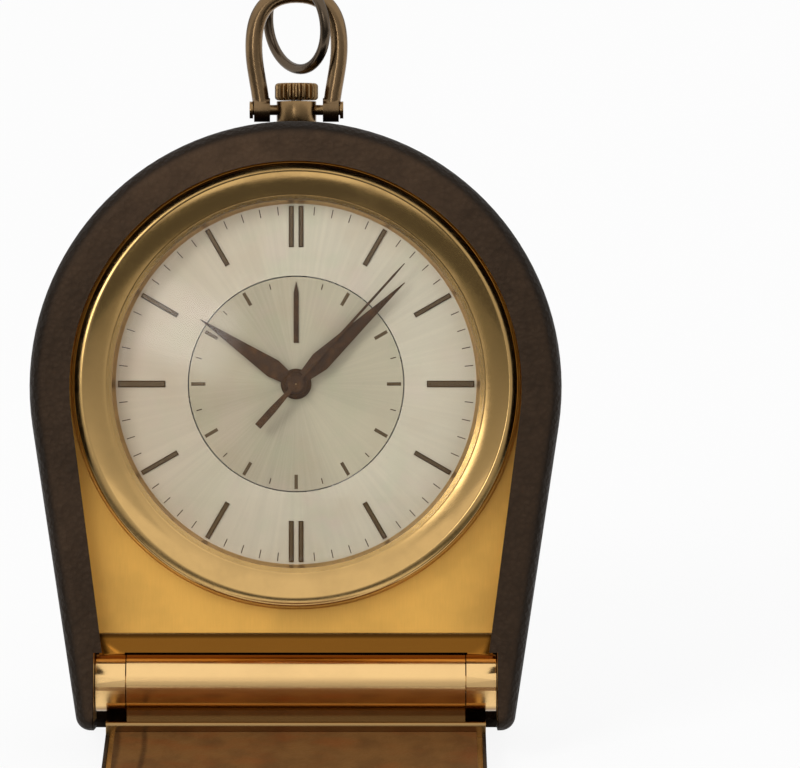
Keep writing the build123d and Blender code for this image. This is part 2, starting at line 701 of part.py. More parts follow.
def pallet_fork():
    """The lever with its two pallets and its forked end."""
    long = lever_line()[0] - ESCAPE_R - PALLET_OFF - 0.95
    fork = drum(0.5, ESCAPE_LOW, ESCAPE_HIGH)
    fork += block(-0.2, 0.25, -1.5, 1.5, ESCAPE_LOW, ESCAPE_HIGH)
    for side in (-1.5, 1.25):
        fork += block(-0.5, 0.0, side, side + 0.25, ESCAPE_LOW, ESCAPE_HIGH)
    fork += block(0, long, -0.16, 0.16, ESCAPE_LOW, ESCAPE_HIGH)
    for side in (-0.42, 0.2):
        fork += block(long - 0.25, long + 0.2, side, side + 0.22, ESCAPE_LOW, ESCAPE_HIGH)
    fork += block(long - 0.3, long - 0.1, -0.42, 0.42, ESCAPE_LOW, ESCAPE_HIGH)
    fork += drum(PIVOT_R * 0.8, PALLET_BRIDGE_LOW + 0.1, PLATE_BACK + 0.3)
    return moved(*pallet_place(), Rot(0, 0, lever_line()[1]) * fork)


def balance_wheel():
    """The balance with its rim, two arms, staff and roller."""
    wheel = pipe(BALANCE_R, BALANCE_R - BALANCE_RIM, BALANCE_LOW, BALANCE_HIGH)
    wheel += block(-BALANCE_R + 0.3, BALANCE_R - 0.3, -0.3, 0.3, BALANCE_LOW, BALANCE_HIGH)
    wheel += drum(0.8, BALANCE_LOW, BALANCE_HIGH)
    wheel += drum(0.55, ESCAPE_LOW, ESCAPE_HIGH)
    wheel += arbor(BRIDGE_BACK + 0.3, PLATE_BACK + 0.3)
    return moved(BALANCE_X, BALANCE_Y, wheel)


def spiral(inner, outer, turns, wide, low, high, per_turn=18):
    """A flat wound spring: one ribbon that grows by a steady step each turn."""
    count = int(turns * per_turn)
    near = []
    far = []
    for step in range(count + 1):
        radius = inner + (outer - inner) * step / count
        angle = 360.0 * turns * step / count
        near.append(at(radius - wide / 2, angle))
        far.append(at(radius + wide / 2, angle))
    return raised(make_face(Polyline(*near, *reversed(far), close=True)), low, high)


def hairspring():
    """The balance spring, held at its outer end by the stud under the balance bridge."""
    spring = spiral(HAIRSPRING_IN, HAIRSPRING_R, 4.0, 0.12, HAIRSPRING_LOW, HAIRSPRING_HIGH)
    spring += drum(HAIRSPRING_STUD_R, BRIDGE_Z, HAIRSPRING_HIGH, HAIRSPRING_R, 0)
    return moved(BALANCE_X, BALANCE_Y, spring)


def wound_barrel(radius, teeth, module, phase):
    """A spring barrel: a shallow drum with a toothed edge and a hole for its arbor."""
    drum_part = drum(radius, BARREL_LOW, BARREL_HIGH)
    drum_part -= drum(radius - 0.5, BARREL_LOW + 0.3, BARREL_HIGH - 0.3)
    drum_part += toothed(teeth, module, BARREL_TEETH_LOW, BARREL_TEETH_HIGH, phase) - drum(
        radius - 0.25, BARREL_LOW, BARREL_HIGH)
    return drum_part - drum(BARREL_ARBOR_R + RUN, BARREL_LOW - 1, BARREL_HIGH + 1)


def going_barrel():
    module = 2 * BARREL_DISTANCE / (BARREL_TEETH + CENTRE_LEAVES)
    phase = mesh_phase(BARREL_TEETH, CENTRE_LEAVES, BARREL_ANGLE, BARREL_ANGLE)
    return moved(*BARREL_PLACE, wound_barrel(BARREL_DRUM_R, BARREL_TEETH, module, phase))


def mainspring():
    spring = spiral(1.6, BARREL_DRUM_R - 0.62, 6.0, 0.16, BARREL_LOW + 0.45, BARREL_HIGH - 0.45)
    return moved(*BARREL_PLACE, spring)


def barrel_arbor():
    """The arbor that the going spring is wound on, with its square."""
    shaft = drum(BARREL_ARBOR_R, BRIDGE_BACK - RATCHET_THICK, PLATE_Z - 0.3)
    shaft += drum(1.2, BARREL_LOW + 0.4, BARREL_HIGH - 0.4)
    return moved(*BARREL_PLACE, shaft)


def ratchet_wheel():
    """The winding ratchet, seen when the back is off."""
    points = []
    for tooth in range(RATCHET_TEETH):
        turn = tooth * 360.0 / RATCHET_TEETH
        points += [at(RATCHET_R - 0.45, turn), at(RATCHET_R, turn + 9.0)]
    wheel = raised(make_face(Polyline(*points, close=True)), BRIDGE_BACK - RATCHET_THICK, BRIDGE_BACK - FIT)
    wheel -= drum(BARREL_ARBOR_R, BRIDGE_BACK - 2, BRIDGE_BACK + 1)
    return moved(*BARREL_PLACE, wheel)


def click():
    """The pawl that lets the ratchet turn one way only."""
    x, y = BARREL_PLACE
    reach = RATCHET_R + 1.3
    angle = 75.0
    cx, cy = at(reach, angle)
    pawl = drum(0.6, BRIDGE_BACK - RATCHET_THICK, BRIDGE_BACK, cx, cy)
    tx, ty = at(RATCHET_R + 0.12, angle - 16)
    line = Polyline((cx - 0.3, cy - 0.3), (cx + 0.5, cy + 0.3), (tx, ty), close=True)
    pawl += raised(make_face(line), BRIDGE_BACK - RATCHET_THICK, BRIDGE_BACK - FIT)
    return moved(x, y, pawl)


def alarm_barrel():
    module = 2 * ALARM_STAR_DISTANCE / (ALARM_BARREL_TEETH + ALARM_STAR_LEAVES)
    phase = mesh_phase(ALARM_BARREL_TEETH, ALARM_STAR_LEAVES, ALARM_STAR_ANGLE + 180, ALARM_STAR_ANGLE + 180)
    barrel = wound_barrel(ALARM_BARREL_R - 0.5, ALARM_BARREL_TEETH, module, phase)
    return moved(ALARM_BARREL_X, ALARM_BARREL_Y, barrel)


def alarm_spring():
    spring = spiral(1.6, ALARM_BARREL_R - 1.1, 4.0, 0.16, BARREL_LOW + 0.45, BARREL_HIGH - 0.45)
    return moved(ALARM_BARREL_X, ALARM_BARREL_Y, spring)


def alarm_star_place():
    dx, dy = at(ALARM_STAR_DISTANCE, ALARM_STAR_ANGLE)
    return ALARM_BARREL_X + dx, ALARM_BARREL_Y + dy


def alarm_star():
    """The star wheel that rocks the hammer, on the pinion that the alarm barrel drives."""
    module = 2 * ALARM_STAR_DISTANCE / (ALARM_BARREL_TEETH + ALARM_STAR_LEAVES)
    star = toothed(ALARM_STAR_LEAVES, module, BARREL_TEETH_LOW, BARREL_TEETH_HIGH, ALARM_STAR_ANGLE + 180)
    points = []
    for tooth in range(12):
        points += [at(1.35, tooth * 30.0), at(1.9, tooth * 30.0 + 15.0)]
    star += drum(0.7, BARREL_TEETH_HIGH, BARREL_HIGH + FIT)
    star += raised(make_face(Polyline(*points, close=True)), BARREL_HIGH + FIT, BARREL_HIGH + 0.5)
    star += arbor(BRIDGE_BACK + 0.3, PLATE_Z - 0.3)
    return moved(*alarm_star_place(), star)


def alarm_hammer():
    """The alarm hammer: a pivoted arm with a heavy round head."""
    hammer = drum(0.9, BARREL_LOW, BARREL_HIGH)
    hammer += block(-0.45, 0.45, 0, HAMMER_LONG, BARREL_LOW + 0.6, BARREL_HIGH - 0.6)
    hammer += drum(HAMMER_HEAD_R, BARREL_LOW, BARREL_HIGH, 0, HAMMER_LONG)
    hammer += arbor(BRIDGE_BACK + 0.3, PLATE_Z - 0.3)
    return moved(HAMMER_X, HAMMER_Y, hammer)


def post_place():
    return HAMMER_X + HAMMER_HEAD_R + GAP + POST_R, HAMMER_Y + HAMMER_LONG


def sound_post():
    """The post on the back cover that the hammer strikes, which makes the back ring."""
    return drum(POST_R, BACK_SEAT, BARREL_HIGH, *post_place())


def alarm_key():
    """The folding-wing key that winds the alarm, on the alarm barrel's arbor."""
    key = drum(BARREL_ARBOR_R, -KEY_TOP, PLATE_Z - 0.3)
    key += drum(1.2, BARREL_LOW + 0.4, BARREL_HIGH - 0.4)
    key += drum(1.25, -KEY_TOP, -CASE_BACK - KEY_LIFT)
    wing = block(-KEY_R, KEY_R, -0.45, 0.45, -KEY_TOP, -CASE_BACK - KEY_LIFT)
    wing = fillet(wing.edges().filter_by(Axis.Y), 0.3)
    key += wing
    return moved(ALARM_BARREL_X, ALARM_BARREL_Y, key)


def alarm_set_place():
    return at(ALARM_SET_DISTANCE, ALARM_SET_ANGLE)


def alarm_set_arbor():
    """The arbor and pinion that turn the alarm disc."""
    module = 2 * ALARM_SET_DISTANCE / (ALARM_RING_TEETH + ALARM_SET_LEAVES)
    phase = mesh_phase(ALARM_SET_LEAVES, ALARM_RING_TEETH, 0.0, ALARM_SET_ANGLE)
    pinion = toothed(ALARM_SET_LEAVES, module, ALARM_RING_LOW, ALARM_RING_HIGH, phase)
    pinion += drum(STEM_POST_R, -CASE_BACK - KEY_LIFT, ALARM_RING_LOW)
    return moved(*alarm_set_place(), pinion)


def alarm_set_knob():
    """The fluted knob on the back that sets the alarm."""
    knob = toothed(18, 2 * SET_KNOB_R / 19.7, -KEY_TOP, -CASE_BACK - KEY_LIFT)
    return moved(*alarm_set_place(), knob)


def stop_button():
    """The push button on the back that silences the alarm, with its stem."""
    button = drum(STOP_R, -KEY_TOP, -CASE_BACK - STOP_TRAVEL - FIT)
    button = fillet(button.faces().sort_by(Axis.Z)[0].edges(), 0.4)
    button += drum(STEM_POST_R, -CASE_BACK - STOP_TRAVEL - FIT, STOP_STEM_TOP)
    return moved(STOP_X, STOP_Y, button)


def bridge_pillars():
    return [at(PILLAR_REACH, angle) for angle in PILLAR_ANGLES]


def balance_posts():
    return [at(PILLAR_REACH, angle) for angle in BALANCE_POST_ANGLES]


def pallet_posts():
    x, y = pallet_place()
    dx, dy = at(PALLET_POST_REACH, lever_line()[1] + 90)
    return [(x + dx, y + dy), (x - dx, y - dy)]


def bar_outline(places, half):
    """A flat bar of even width that runs through a list of places, with round ends."""
    outline = None
    for (ax, ay), (bx, by) in zip(places, places[1:]):
        long = math.hypot(bx - ax, by - ay)
        angle = math.degrees(math.atan2(by - ay, bx - ax))
        run = Pos((ax + bx) / 2, (ay + by) / 2) * Rot(0, 0, angle) * Rectangle(long, 2 * half)
        outline = run if outline is None else outline + run
    for x, y in places:
        outline += Pos(x, y) * Circle(half)
    return outline


def balance_bridge_outline(half):
    first, last = balance_posts()
    return bar_outline([first, (BALANCE_X, BALANCE_Y), last], half)


def through_places():
    """Where arbors and stems pass through the bridge, each with its hole's radius."""
    holes = [(at(0, 0), PIVOT_R + RUN), (at(THIRD_DISTANCE, THIRD_ANGLE), PIVOT_R + RUN)]
    holes += [(at(ESCAPE_DISTANCE, ESCAPE_ANGLE), PIVOT_R + RUN), (alarm_star_place(), PIVOT_R + RUN)]
    holes += [((HAMMER_X, HAMMER_Y), PIVOT_R + RUN), (BARREL_PLACE, BARREL_ARBOR_R + RUN)]
    holes += [((ALARM_BARREL_X, ALARM_BARREL_Y), BARREL_ARBOR_R + RUN), (alarm_set_place(), STEM_POST_R + RUN)]
    holes += [((STOP_X, STOP_Y), STEM_POST_R + RUN), (post_place(), POST_R + FIT)]
    return holes


def train_bridge():
    """The gilt bridge that carries the back pivots of both trains, on four pillars."""
    bridge = drum(MOVEMENT_R - 0.4, BRIDGE_BACK, BRIDGE_Z)
    bridge -= drum(BALANCE_R + 1.0, BRIDGE_BACK - 1, 0, BALANCE_X, BALANCE_Y)
    bridge -= raised(balance_bridge_outline(BALANCE_BAR_HALF + GAP), BRIDGE_BACK - 1, 0)
    beyond = bar_outline([(BALANCE_X, BALANCE_Y), (2 * BALANCE_X, 2 * BALANCE_Y)], BALANCE_R + 1.3)
    bridge -= raised(beyond, BRIDGE_BACK - 1, 0)
    for x, y in bridge_pillars():
        bridge += drum(PILLAR_R, BRIDGE_Z, PLATE_BACK, x, y)
        bridge -= drum(SCREW_R, BRIDGE_BACK - 1, PLATE_BACK + 1, x, y)
    for (x, y), radius in through_places():
        bridge -= drum(radius, BRIDGE_BACK - 1, 0, x, y)
    return bridge


def balance_bridge():
    """The bar over the balance, on two posts."""
    bridge = raised(balance_bridge_outline(BALANCE_BAR_HALF), BRIDGE_BACK, BRIDGE_Z)
    for x, y in balance_posts():
        bridge += drum(PILLAR_R, BRIDGE_Z, PLATE_BACK, x, y)
        bridge -= drum(SCREW_R, BRIDGE_BACK - 1, PLATE_BACK + 1, x, y)
    return bridge - drum(PIVOT_R + RUN, BRIDGE_BACK - 1, 0, BALANCE_X, BALANCE_Y)


def pallet_bridge():
    """The small bar over the lever's pivot."""
    bridge = raised(bar_outline([pallet_posts()[0], pallet_place(), pallet_posts()[1]], 0.6),
                    PALLET_BRIDGE_LOW, PALLET_BRIDGE_HIGH)
    for x, y in pallet_posts():
        bridge += drum(0.5, PALLET_BRIDGE_HIGH, PLATE_BACK, x, y)
    return bridge - drum(PIVOT_R * 0.8 + RUN, PALLET_BRIDGE_LOW - 1, 0, *pallet_place())


def bridge_screws():
    """The six screws that hold the two bridges to the main plate."""
    screws = []
    for x, y in [*bridge_pillars(), *balance_posts()]:
        screw = drum(SCREW_R, BRIDGE_BACK, PLATE_BACK + 0.6, x, y)
        screw += drum(SCREW_HEAD_R, BRIDGE_BACK - SCREW_HEAD, BRIDGE_BACK, x, y)
        slot = block(x - 2, x + 2, y - 0.12, y + 0.12, BRIDGE_BACK - SCREW_HEAD - 1, BRIDGE_BACK - 0.25)
        screws.append((screw - slot).solid())
    return Compound(children=screws)


def main_plate():
    """The main plate, with the motion work's recess in front and the pivot holes of the train."""
    plate = drum(MOVEMENT_R, PLATE_BACK, DIAL_BACK)
    plate -= drum(WORK_RECESS_R, PLATE_Z, 1)
    plate -= drum(CANNON_PIPE_R + RUN, PLATE_BACK - 1, 0)
    for place in (at(THIRD_DISTANCE, THIRD_ANGLE), at(ESCAPE_DISTANCE, ESCAPE_ANGLE), alarm_star_place(),
                  (HAMMER_X, HAMMER_Y)):
        plate -= drum(PIVOT_R + RUN, PLATE_BACK - 1, 0, *place)
    for place in (BARREL_PLACE, (ALARM_BARREL_X, ALARM_BARREL_Y)):
        plate -= drum(BARREL_ARBOR_R + RUN, PLATE_BACK - 1, 0, *place)
    plate -= drum(STEM_POST_R + RUN, PLATE_BACK - 1, 0, *alarm_set_place())
    plate -= drum(PIVOT_R + RUN, PLATE_BACK - 1, PLATE_BACK + 0.6, BALANCE_X, BALANCE_Y)
    plate -= drum(PIVOT_R * 0.8 + RUN, PLATE_BACK - 1, PLATE_BACK + 0.6, *pallet_place())
    for x, y in [*bridge_pillars(), *balance_posts()]:
        plate -= drum(SCREW_R, PLATE_BACK - 1, PLATE_BACK + 0.6, x, y)
    plate += drum(PIVOT_R, PLATE_Z, HOUR_WHEEL_HIGH, *at(motion_distance(), MINUTE_WHEEL_ANGLE))
    plate -= block(-STEM_SLOT, STEM_SLOT, STEM_END - FIT, MOVEMENT_R + 1, PLATE_BACK - 1, 0)
    return plate


def casing_ring():
    """The ring that centres the movement in the case."""
    ring = pipe(CASING_RING_R, MOVEMENT_R + FIT, CASING_BACK, DIAL_BACK + 0.3)
    return ring - stem_way(STEM_R + 0.35)


def back_cover():
    """The round gilt back, sprung into its seat, with a thumb notch."""
    cover = drum(BACK_R, -CASE_BACK + BACK_PROUD, BACK_SEAT)
    outer = cover.faces().sort_by(Axis.Z)[0].edges()
    cover = fillet(outer, 0.35)
    cover += pipe(BACK_R - BACK_LEDGE - FIT, BACK_R - BACK_LEDGE - FIT - 0.7, BACK_SEAT, BACK_SEAT + 0.6)
    cover -= drum(POST_R + FIT, BACK_SEAT, 0, *post_place())
    cover -= drum(BARREL_ARBOR_R + RUN, -CASE_BACK - 1, 0, ALARM_BARREL_X, ALARM_BARREL_Y)
    cover -= drum(STEM_POST_R + RUN, -CASE_BACK - 1, 0, *alarm_set_place())
    cover -= drum(STEM_POST_R + RUN, -CASE_BACK - 1, 0, STOP_X, STOP_Y)
    return cover


# Pendant, crown, bail and ring


def upright(radius, low, high, x=0.0):
    """A round solid that stands on the top of the case, along the winding stem."""
    rod = Cylinder(radius, high - low, align=(Align.CENTER, Align.CENTER, Align.MIN))
    return Pos(x, low, -PENDANT_DEPTH) * Rot(-90, 0, 0) * rod


def pendant_neck():
    """The gilt neck on top of the case, with a sleeve that guides the winding stem."""
    neck = upright(PENDANT_R, PENDANT_SEAT, PENDANT_FOOT + PENDANT_HIGH)
    neck -= raised(arch(CASE_R, HEEL_DROP), -CASE_BACK, RIM_FRONT)
    neck += upright(PENDANT_R - 0.6, CASING_RING_R + 0.2, PENDANT_FOOT + PENDANT_HIGH - 0.2)
    neck -= upright(STEM_R + RUN, 0, PENDANT_FOOT + PENDANT_HIGH + 1)
    pin = Pos(0, BAIL_PIVOT, -PENDANT_DEPTH) * Rot(0, 90, 0)
    neck -= pin * (Cylinder(BAIL_PIN_R, 2 * CASE_R) - Cylinder(BAIL_PIN_R, 2 * BAIL_PIN_IN))
    return neck


def crown():
    """The fluted winding crown above the neck."""
    low = CROWN_FOOT
    flutes = toothed(CROWN_FLUTES, 2 * CROWN_R / (CROWN_FLUTES + 2 * TOOTH_UP), 0, CROWN_HIGH)
    blank = Cylinder(CROWN_R, CROWN_HIGH, align=(Align.CENTER, Align.CENTER, Align.MIN))
    knob = flutes & fillet(blank.edges().filter_by(GeomType.CIRCLE), 0.3)
    knob = Pos(0, low, -PENDANT_DEPTH) * Rot(-90, 0, 0) * knob
    return knob - upright(STEM_R, low - 1, low + CROWN_HIGH * 0.6)


def winding_stem():
    """The stem that the crown is screwed on, grooved for the setting lever."""
    stem = upright(STEM_R, STEM_END, CROWN_FOOT + CROWN_HIGH * 0.6)
    stem -= upright(STEM_R + 1, STEM_GROOVE, STEM_GROOVE + STEM_GROOVE_LONG) - upright(
        STEM_NECK_R, STEM_GROOVE - 1, STEM_GROOVE + 2)
    return stem


def setting_lever():
    """The lever whose forked end sits in the stem's groove and moves in and out with it."""
    half = STEM_GROOVE_LONG / 2 - RUN
    middle = STEM_GROOVE + STEM_GROOVE_LONG / 2
    side = STEM_SLOT - FIT
    lever = block(-side, side, middle - half, middle + half, PLATE_BACK + FIT, PLATE_Z - RUN)
    return lever - upright(STEM_NECK_R + RUN, STEM_GROOVE - 1, STEM_GROOVE + 2)


def bail_route():
    """The middle line of the bail: two legs that swell outwards and a round top."""
    top = BAIL_TOP - BAIL_WIRE_R
    right = Spline(
        (BAIL_HALF, BAIL_PIVOT), (BAIL_BULGE, (BAIL_PIVOT + top) / 2 + 0.6), (0, top),
        tangents=((0.12, 1), (-1, 0)),
    )
    return right


def bail():
    """The bow: a round wire, with flattened eyes that turn on the pins of the neck."""
    half = bail_route()
    end = Plane(origin=half @ 0, z_dir=half % 0)
    leg = sweep(end * Circle(BAIL_WIRE_R), path=half)
    loop = leg + mirror(leg, Plane.YZ)
    eye = Pos(BAIL_HALF, BAIL_PIVOT, 0) * Rot(0, 90, 0) * Cylinder(BAIL_EYE_R, 2 * BAIL_WIRE_R - 0.1)
    loop += eye
    loop += mirror(eye, Plane.YZ)
    loop -= Pos(0, BAIL_PIVOT, 0) * Rot(0, 90, 0) * Cylinder(BAIL_PIN_R + RUN, 4 * CASE_R)
    loop -= upright_clear()
    return Pos(0, 0, -PENDANT_DEPTH) * loop


def upright_clear():
    """The room that the neck and the crown need between the bail's legs."""
    room = Cylinder(PENDANT_R + 0.3, 3 * PENDANT_HIGH)
    return Pos(0, PENDANT_FOOT, 0) * Rot(-90, 0, 0) * room


def bail_pins():
    """The two screwed pins that the bail turns on."""
    pins = []
    for side in (-1, 1):
        inner = side * BAIL_PIN_IN
        outer = side * (BAIL_HALF + BAIL_WIRE_R + 0.25)
        low, high = sorted((inner, outer))
        place = Pos((low + high) / 2, BAIL_PIVOT, -PENDANT_DEPTH)
        pin = place * Rot(0, 90, 0) * Cylinder(BAIL_PIN_R, high - low)
        head = Pos(side * (BAIL_HALF + BAIL_WIRE_R + 0.2), BAIL_PIVOT, -PENDANT_DEPTH) * Rot(0, 90, 0)
        pin += head * Cylinder(BAIL_PIN_R + 0.3, 0.3)
        pins.append(pin.solid())
    return Compound(children=pins)


def ring():
    """The jump ring that hangs from the top of the bail, turned a little about the upright."""
    top = 2 * RING_WIRE_R + RUN
    hoop = Rot(0, 90, 0) * Torus(RING_R, RING_WIRE_R)
    hoop = Rot(0, RING_TWIST, 0) * Pos(0, -RING_R - RING_WIRE_R, 0) * hoop
    return Pos(0, BAIL_TOP, -PENDANT_DEPTH) * Rot(LEAN, 0, 0) * Pos(0, top, 0) * hoop


# Hinge and lid


def across(radius, left, right):
    """A round solid along the hinge's axis."""
    rod = Cylinder(radius, right - left, align=(Align.CENTER, Align.CENTER, Align.MIN))
    return Pos(left, -HINGE_DROP, HINGE_Z) * Rot(0, 90, 0) * rod


def case_hinge():
    """The fixed half of the hinge: a leaf on the case with a knuckle at each end."""
    half = BARREL_HALF - GAP
    leaf = block(-half, half, -HINGE_DROP + 2.0, -PLATE_FOOT - FIT, PLATE_BOTTOM, PLATE_BOTTOM + 0.7)
    leaf &= raised(arch(SHELL_IN_R - FIT, HEEL_DROP, RIM_TAPER), PLATE_BOTTOM, PLATE_TOP)
    inner = BARREL_HALF - KNUCKLE_LONG
    leaf -= across(BARREL_R + 0.15, -inner - FIT, inner + FIT)
    for left in (-BARREL_HALF, inner):
        leaf += across(BARREL_R, left, left + KNUCKLE_LONG)
    return leaf - across(PIN_R, -CASE_R, CASE_R)


def hinge_pin():
    """The pin through all the knuckles."""
    return across(PIN_R, -BARREL_HALF, BARREL_HALF)


def lid_outline(extra=0.0, tail=0.0):
    """The lid: a round head over the bezel, on a parallel root that runs to the hinge."""
    radius = LID_R + extra
    half = LID_HALF + extra
    foot = -(HINGE_DROP + LEAF_TAIL) - tail
    outline = Circle(radius) + Pos(0, foot / 2) * Rectangle(2 * half, -foot)
    waists = outline.vertices().sort_by(Axis.Y)[2:4]
    return fillet(waists, LID_WAIST_R)


def opened(piece):
    """The lid is drawn shut, over the dial, and turned down about the hinge to lie open."""
    hinge = Pos(0, -HINGE_DROP, HINGE_Z)
    return hinge * Rot(LID_OPEN, 0, 0) * Pos(0, HINGE_DROP, -HINGE_Z) * piece


def lid_hinge_solid():
    """The moving knuckle with its leaf, which shows as a gilt strip beside the lining."""
    inner = BARREL_HALF - KNUCKLE_LONG - FIT
    knuckle = across(BARREL_R, -inner, inner)
    top = HINGE_Z + LEAF_STEP
    knuckle += block(-inner, inner, -HINGE_DROP - 1.7, -HINGE_DROP + 1.2, HINGE_Z + 1.4, top + 0.1)
    half = LID_HALF + LID_WRAP
    leaf = block(-half, half, -HINGE_DROP - LEAF_TAIL + 0.1, -HINGE_DROP + LEAF_LONG, top, LID_FRAME_IN)
    leaf = fillet(leaf.edges().filter_by(Axis.X).sort_by(Axis.Z)[:2], 0.35)
    knuckle += leaf
    return knuckle - across(PIN_R + RUN, -CASE_R, CASE_R)


def lid_frame_solid():
    """The gilt pan that stiffens the lid."""
    return raised(lid_outline(), LID_FRAME_IN, LID_FRAME_IN + LID_FRAME)


def lid_lining_solid():
    """The brown leather lining, inside the lid."""
    outline = lid_outline(-LID_LINING_INSET)
    lining = raised(outline, LID_IN, LID_FRAME_IN)
    return lining - block(-CASE_R, CASE_R, -CASE_R * 2, -HINGE_DROP + LEAF_LONG + 0.05, 0, LID_OUT + 1)


def lid_leather_solid():
    """The dark leather outside the lid, wrapped round the edge of its pan."""
    form = raised(lid_outline(LID_WRAP, LID_WRAP), LID_FRAME_IN - LID_WRAP, LID_OUT)
    form = fillet(form.faces().sort_by(Axis.Z)[-1].edges(), 0.8)
    form -= raised(lid_outline(), 0, LID_FRAME_IN + LID_FRAME)
    half = LID_HALF + LID_WRAP + 1
    form -= block(-half, half, -CASE_R * 2, -HINGE_DROP + LEAF_LONG, 0, LID_FRAME_IN)
    return form


def lid_hinge():
    return opened(lid_hinge_solid())


def lid_frame():
    return opened(lid_frame_solid())


def lid_lining():
    return opened(lid_lining_solid())


def lid_leather():
    return opened(lid_leather_solid())


# Placing and writing


PIECES = (
    case_shell, leather_wrap, front_plate, bezel, crystal, crystal_gasket, rehaut_ring, dial,
    hour_markers, casing_ring, main_plate, train_bridge, balance_bridge, pallet_bridge,
    bridge_screws, hairspring, click, back_cover, sound_post, pendant_neck, bail_pins,
    case_hinge, hinge_pin, alarm_disc, alarm_pointer, hour_wheel, hour_hand, cannon_pinion,
    minute_hand, centre_wheel, minute_wheel, third_wheel, seconds_wheel, seconds_hand,
    escape_wheel, pallet_fork, balance_wheel, going_barrel, mainspring, barrel_arbor,
    ratchet_wheel, alarm_barrel, alarm_spring, alarm_star, alarm_hammer, alarm_key,
    alarm_set_arbor, alarm_set_knob, stop_button, winding_stem, setting_lever, crown, bail,
    ring, lid_hinge, lid_frame, lid_leather, lid_lining,
)


def standing():
    """The turn that tilts the face frame back, with +Z up."""
    return Rot(90 - LEAN, 0, 0)


def build():
    """Every piece, tilted and set down on the table with the origin under its middle."""
    tilted = {piece.__name__: standing() * piece() for piece in PIECES}
    boxes = [solid.bounding_box() for shape in tilted.values() for solid in shape.solids()]
    low = [min(tuple(box.min)[axis] for box in boxes) for axis in range(3)]
    high = [max(tuple(box.max)[axis] for box in boxes) for axis in range(3)]
    shift = Pos(0, -(low[1] + high[1]) / 2, -low[2])
    return {name: shift * shape for name, shape in tilted.items()}, shift


def main():
    os.makedirs("parts", exist_ok=True)
    placed, shift = build()
    for name, shape in placed.items():
        shape.label = name
        export_step(shape, f"parts/{name}.step")
    print("the table's origin is moved by", shift.position, "and the hinge is at z", HINGE_Z)


if __name__ == "__main__":
    main()
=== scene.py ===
import json
import math

import bpy
from mathutils import Matrix, Vector


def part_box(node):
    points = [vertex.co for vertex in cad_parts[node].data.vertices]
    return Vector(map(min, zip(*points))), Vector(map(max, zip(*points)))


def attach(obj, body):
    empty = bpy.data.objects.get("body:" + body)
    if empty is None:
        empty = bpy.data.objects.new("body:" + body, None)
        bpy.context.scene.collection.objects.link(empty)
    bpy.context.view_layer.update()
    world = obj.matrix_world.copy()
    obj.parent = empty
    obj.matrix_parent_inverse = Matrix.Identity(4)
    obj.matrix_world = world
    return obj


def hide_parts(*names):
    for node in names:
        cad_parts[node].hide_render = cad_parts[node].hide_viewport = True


bl_info = {
    "name": "Travel clock",
    "version": (1, 0, 0),
    "blender": (4, 5, 0),
    "location": "3D View > Sidebar > Clock",
    "description": "Finishes a folding travel alarm clock round its packed frame",
    "category": "Object",
}

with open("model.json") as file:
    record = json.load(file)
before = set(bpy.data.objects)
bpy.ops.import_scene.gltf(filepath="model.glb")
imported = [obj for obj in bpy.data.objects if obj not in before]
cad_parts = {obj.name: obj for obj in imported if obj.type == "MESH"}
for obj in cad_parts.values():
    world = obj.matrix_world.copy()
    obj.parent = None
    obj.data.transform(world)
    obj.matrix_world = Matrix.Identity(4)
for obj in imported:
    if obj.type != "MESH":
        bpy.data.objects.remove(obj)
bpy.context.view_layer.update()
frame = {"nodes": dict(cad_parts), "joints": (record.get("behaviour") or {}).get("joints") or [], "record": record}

# Metres in a millimetre. Lengths in this file are in millimetres unless a comment says otherwise
MM = 0.001
# Vertices closer than this, in metres, are one
WELD = 0.000002
# A vertex this close to a line, in millimetres, is on it
NEAR = 0.01

BODY_OF = {node: body for body, nodes in frame["record"]["behaviour"]["bodies"].items() for node in nodes}
SLOT_OF = {row["node"]: row["material_slot"] for row in frame["record"]["subparts"]}
SECONDS = next(joint for joint in frame["joints"] if joint["name"] == "seconds_turn")

# The face frame: X to the right, UP the dial, OUT to the reader, from the dial's middle
MIDDLE = Vector(SECONDS["pos_m"])
OUT = Vector(SECONDS["axis"])
RIGHT = Vector((1, 0, 0))
UP = OUT.cross(RIGHT)
FACE = Matrix((RIGHT, UP, OUT)).transposed().to_4x4()
FACE.translation = MIDDLE

# Sizes and colours


def length(name, description, value):
    """A length, written here in millimetres and kept in metres."""
    return bpy.props.FloatProperty(
        name=name, description=description, default=value * MM, min=0.0, precision=5, unit="LENGTH")


def colour(name, description, value):
    return bpy.props.FloatVectorProperty(
        name=name, description=description, default=value, min=0.0, max=1.0, subtype="COLOR")


class ClockSizes(bpy.types.PropertyGroup):
    """The sizes that a user would change"""

    bezel_r: length("Bezel radius", "Outer radius of the bezel", 19.45)
    bezel_round: length("Edge rounding", "Rounding of the bezel's outer edge", 0.18)
    bezel_brow: length("Brow", "From the bezel's outer edge to its crest", 0.8)
    bezel_crest: length("Crest height", "Height of the crest over the dial", 3.3)
    glass_r: length("Crystal radius", "Radius of the crystal", 16.6)
    marker_out: length("Marker reach", "Outer end of the hour batons", 15.6)
    disc_r: length("Alarm disc radius", "Radius of the turning alarm disc", 9.4)
    edge: length("Edge softness", "Bevel on the metal edges", 0.05)
    view_far: length("Camera distance", "Camera to dial, along the dial's normal", 800.0)
    view_wide: length("View width", "Width of the picture at the dial", 70.1)
    view_side: length("View offset", "How far the camera stands to the right of the dial", 9.1)


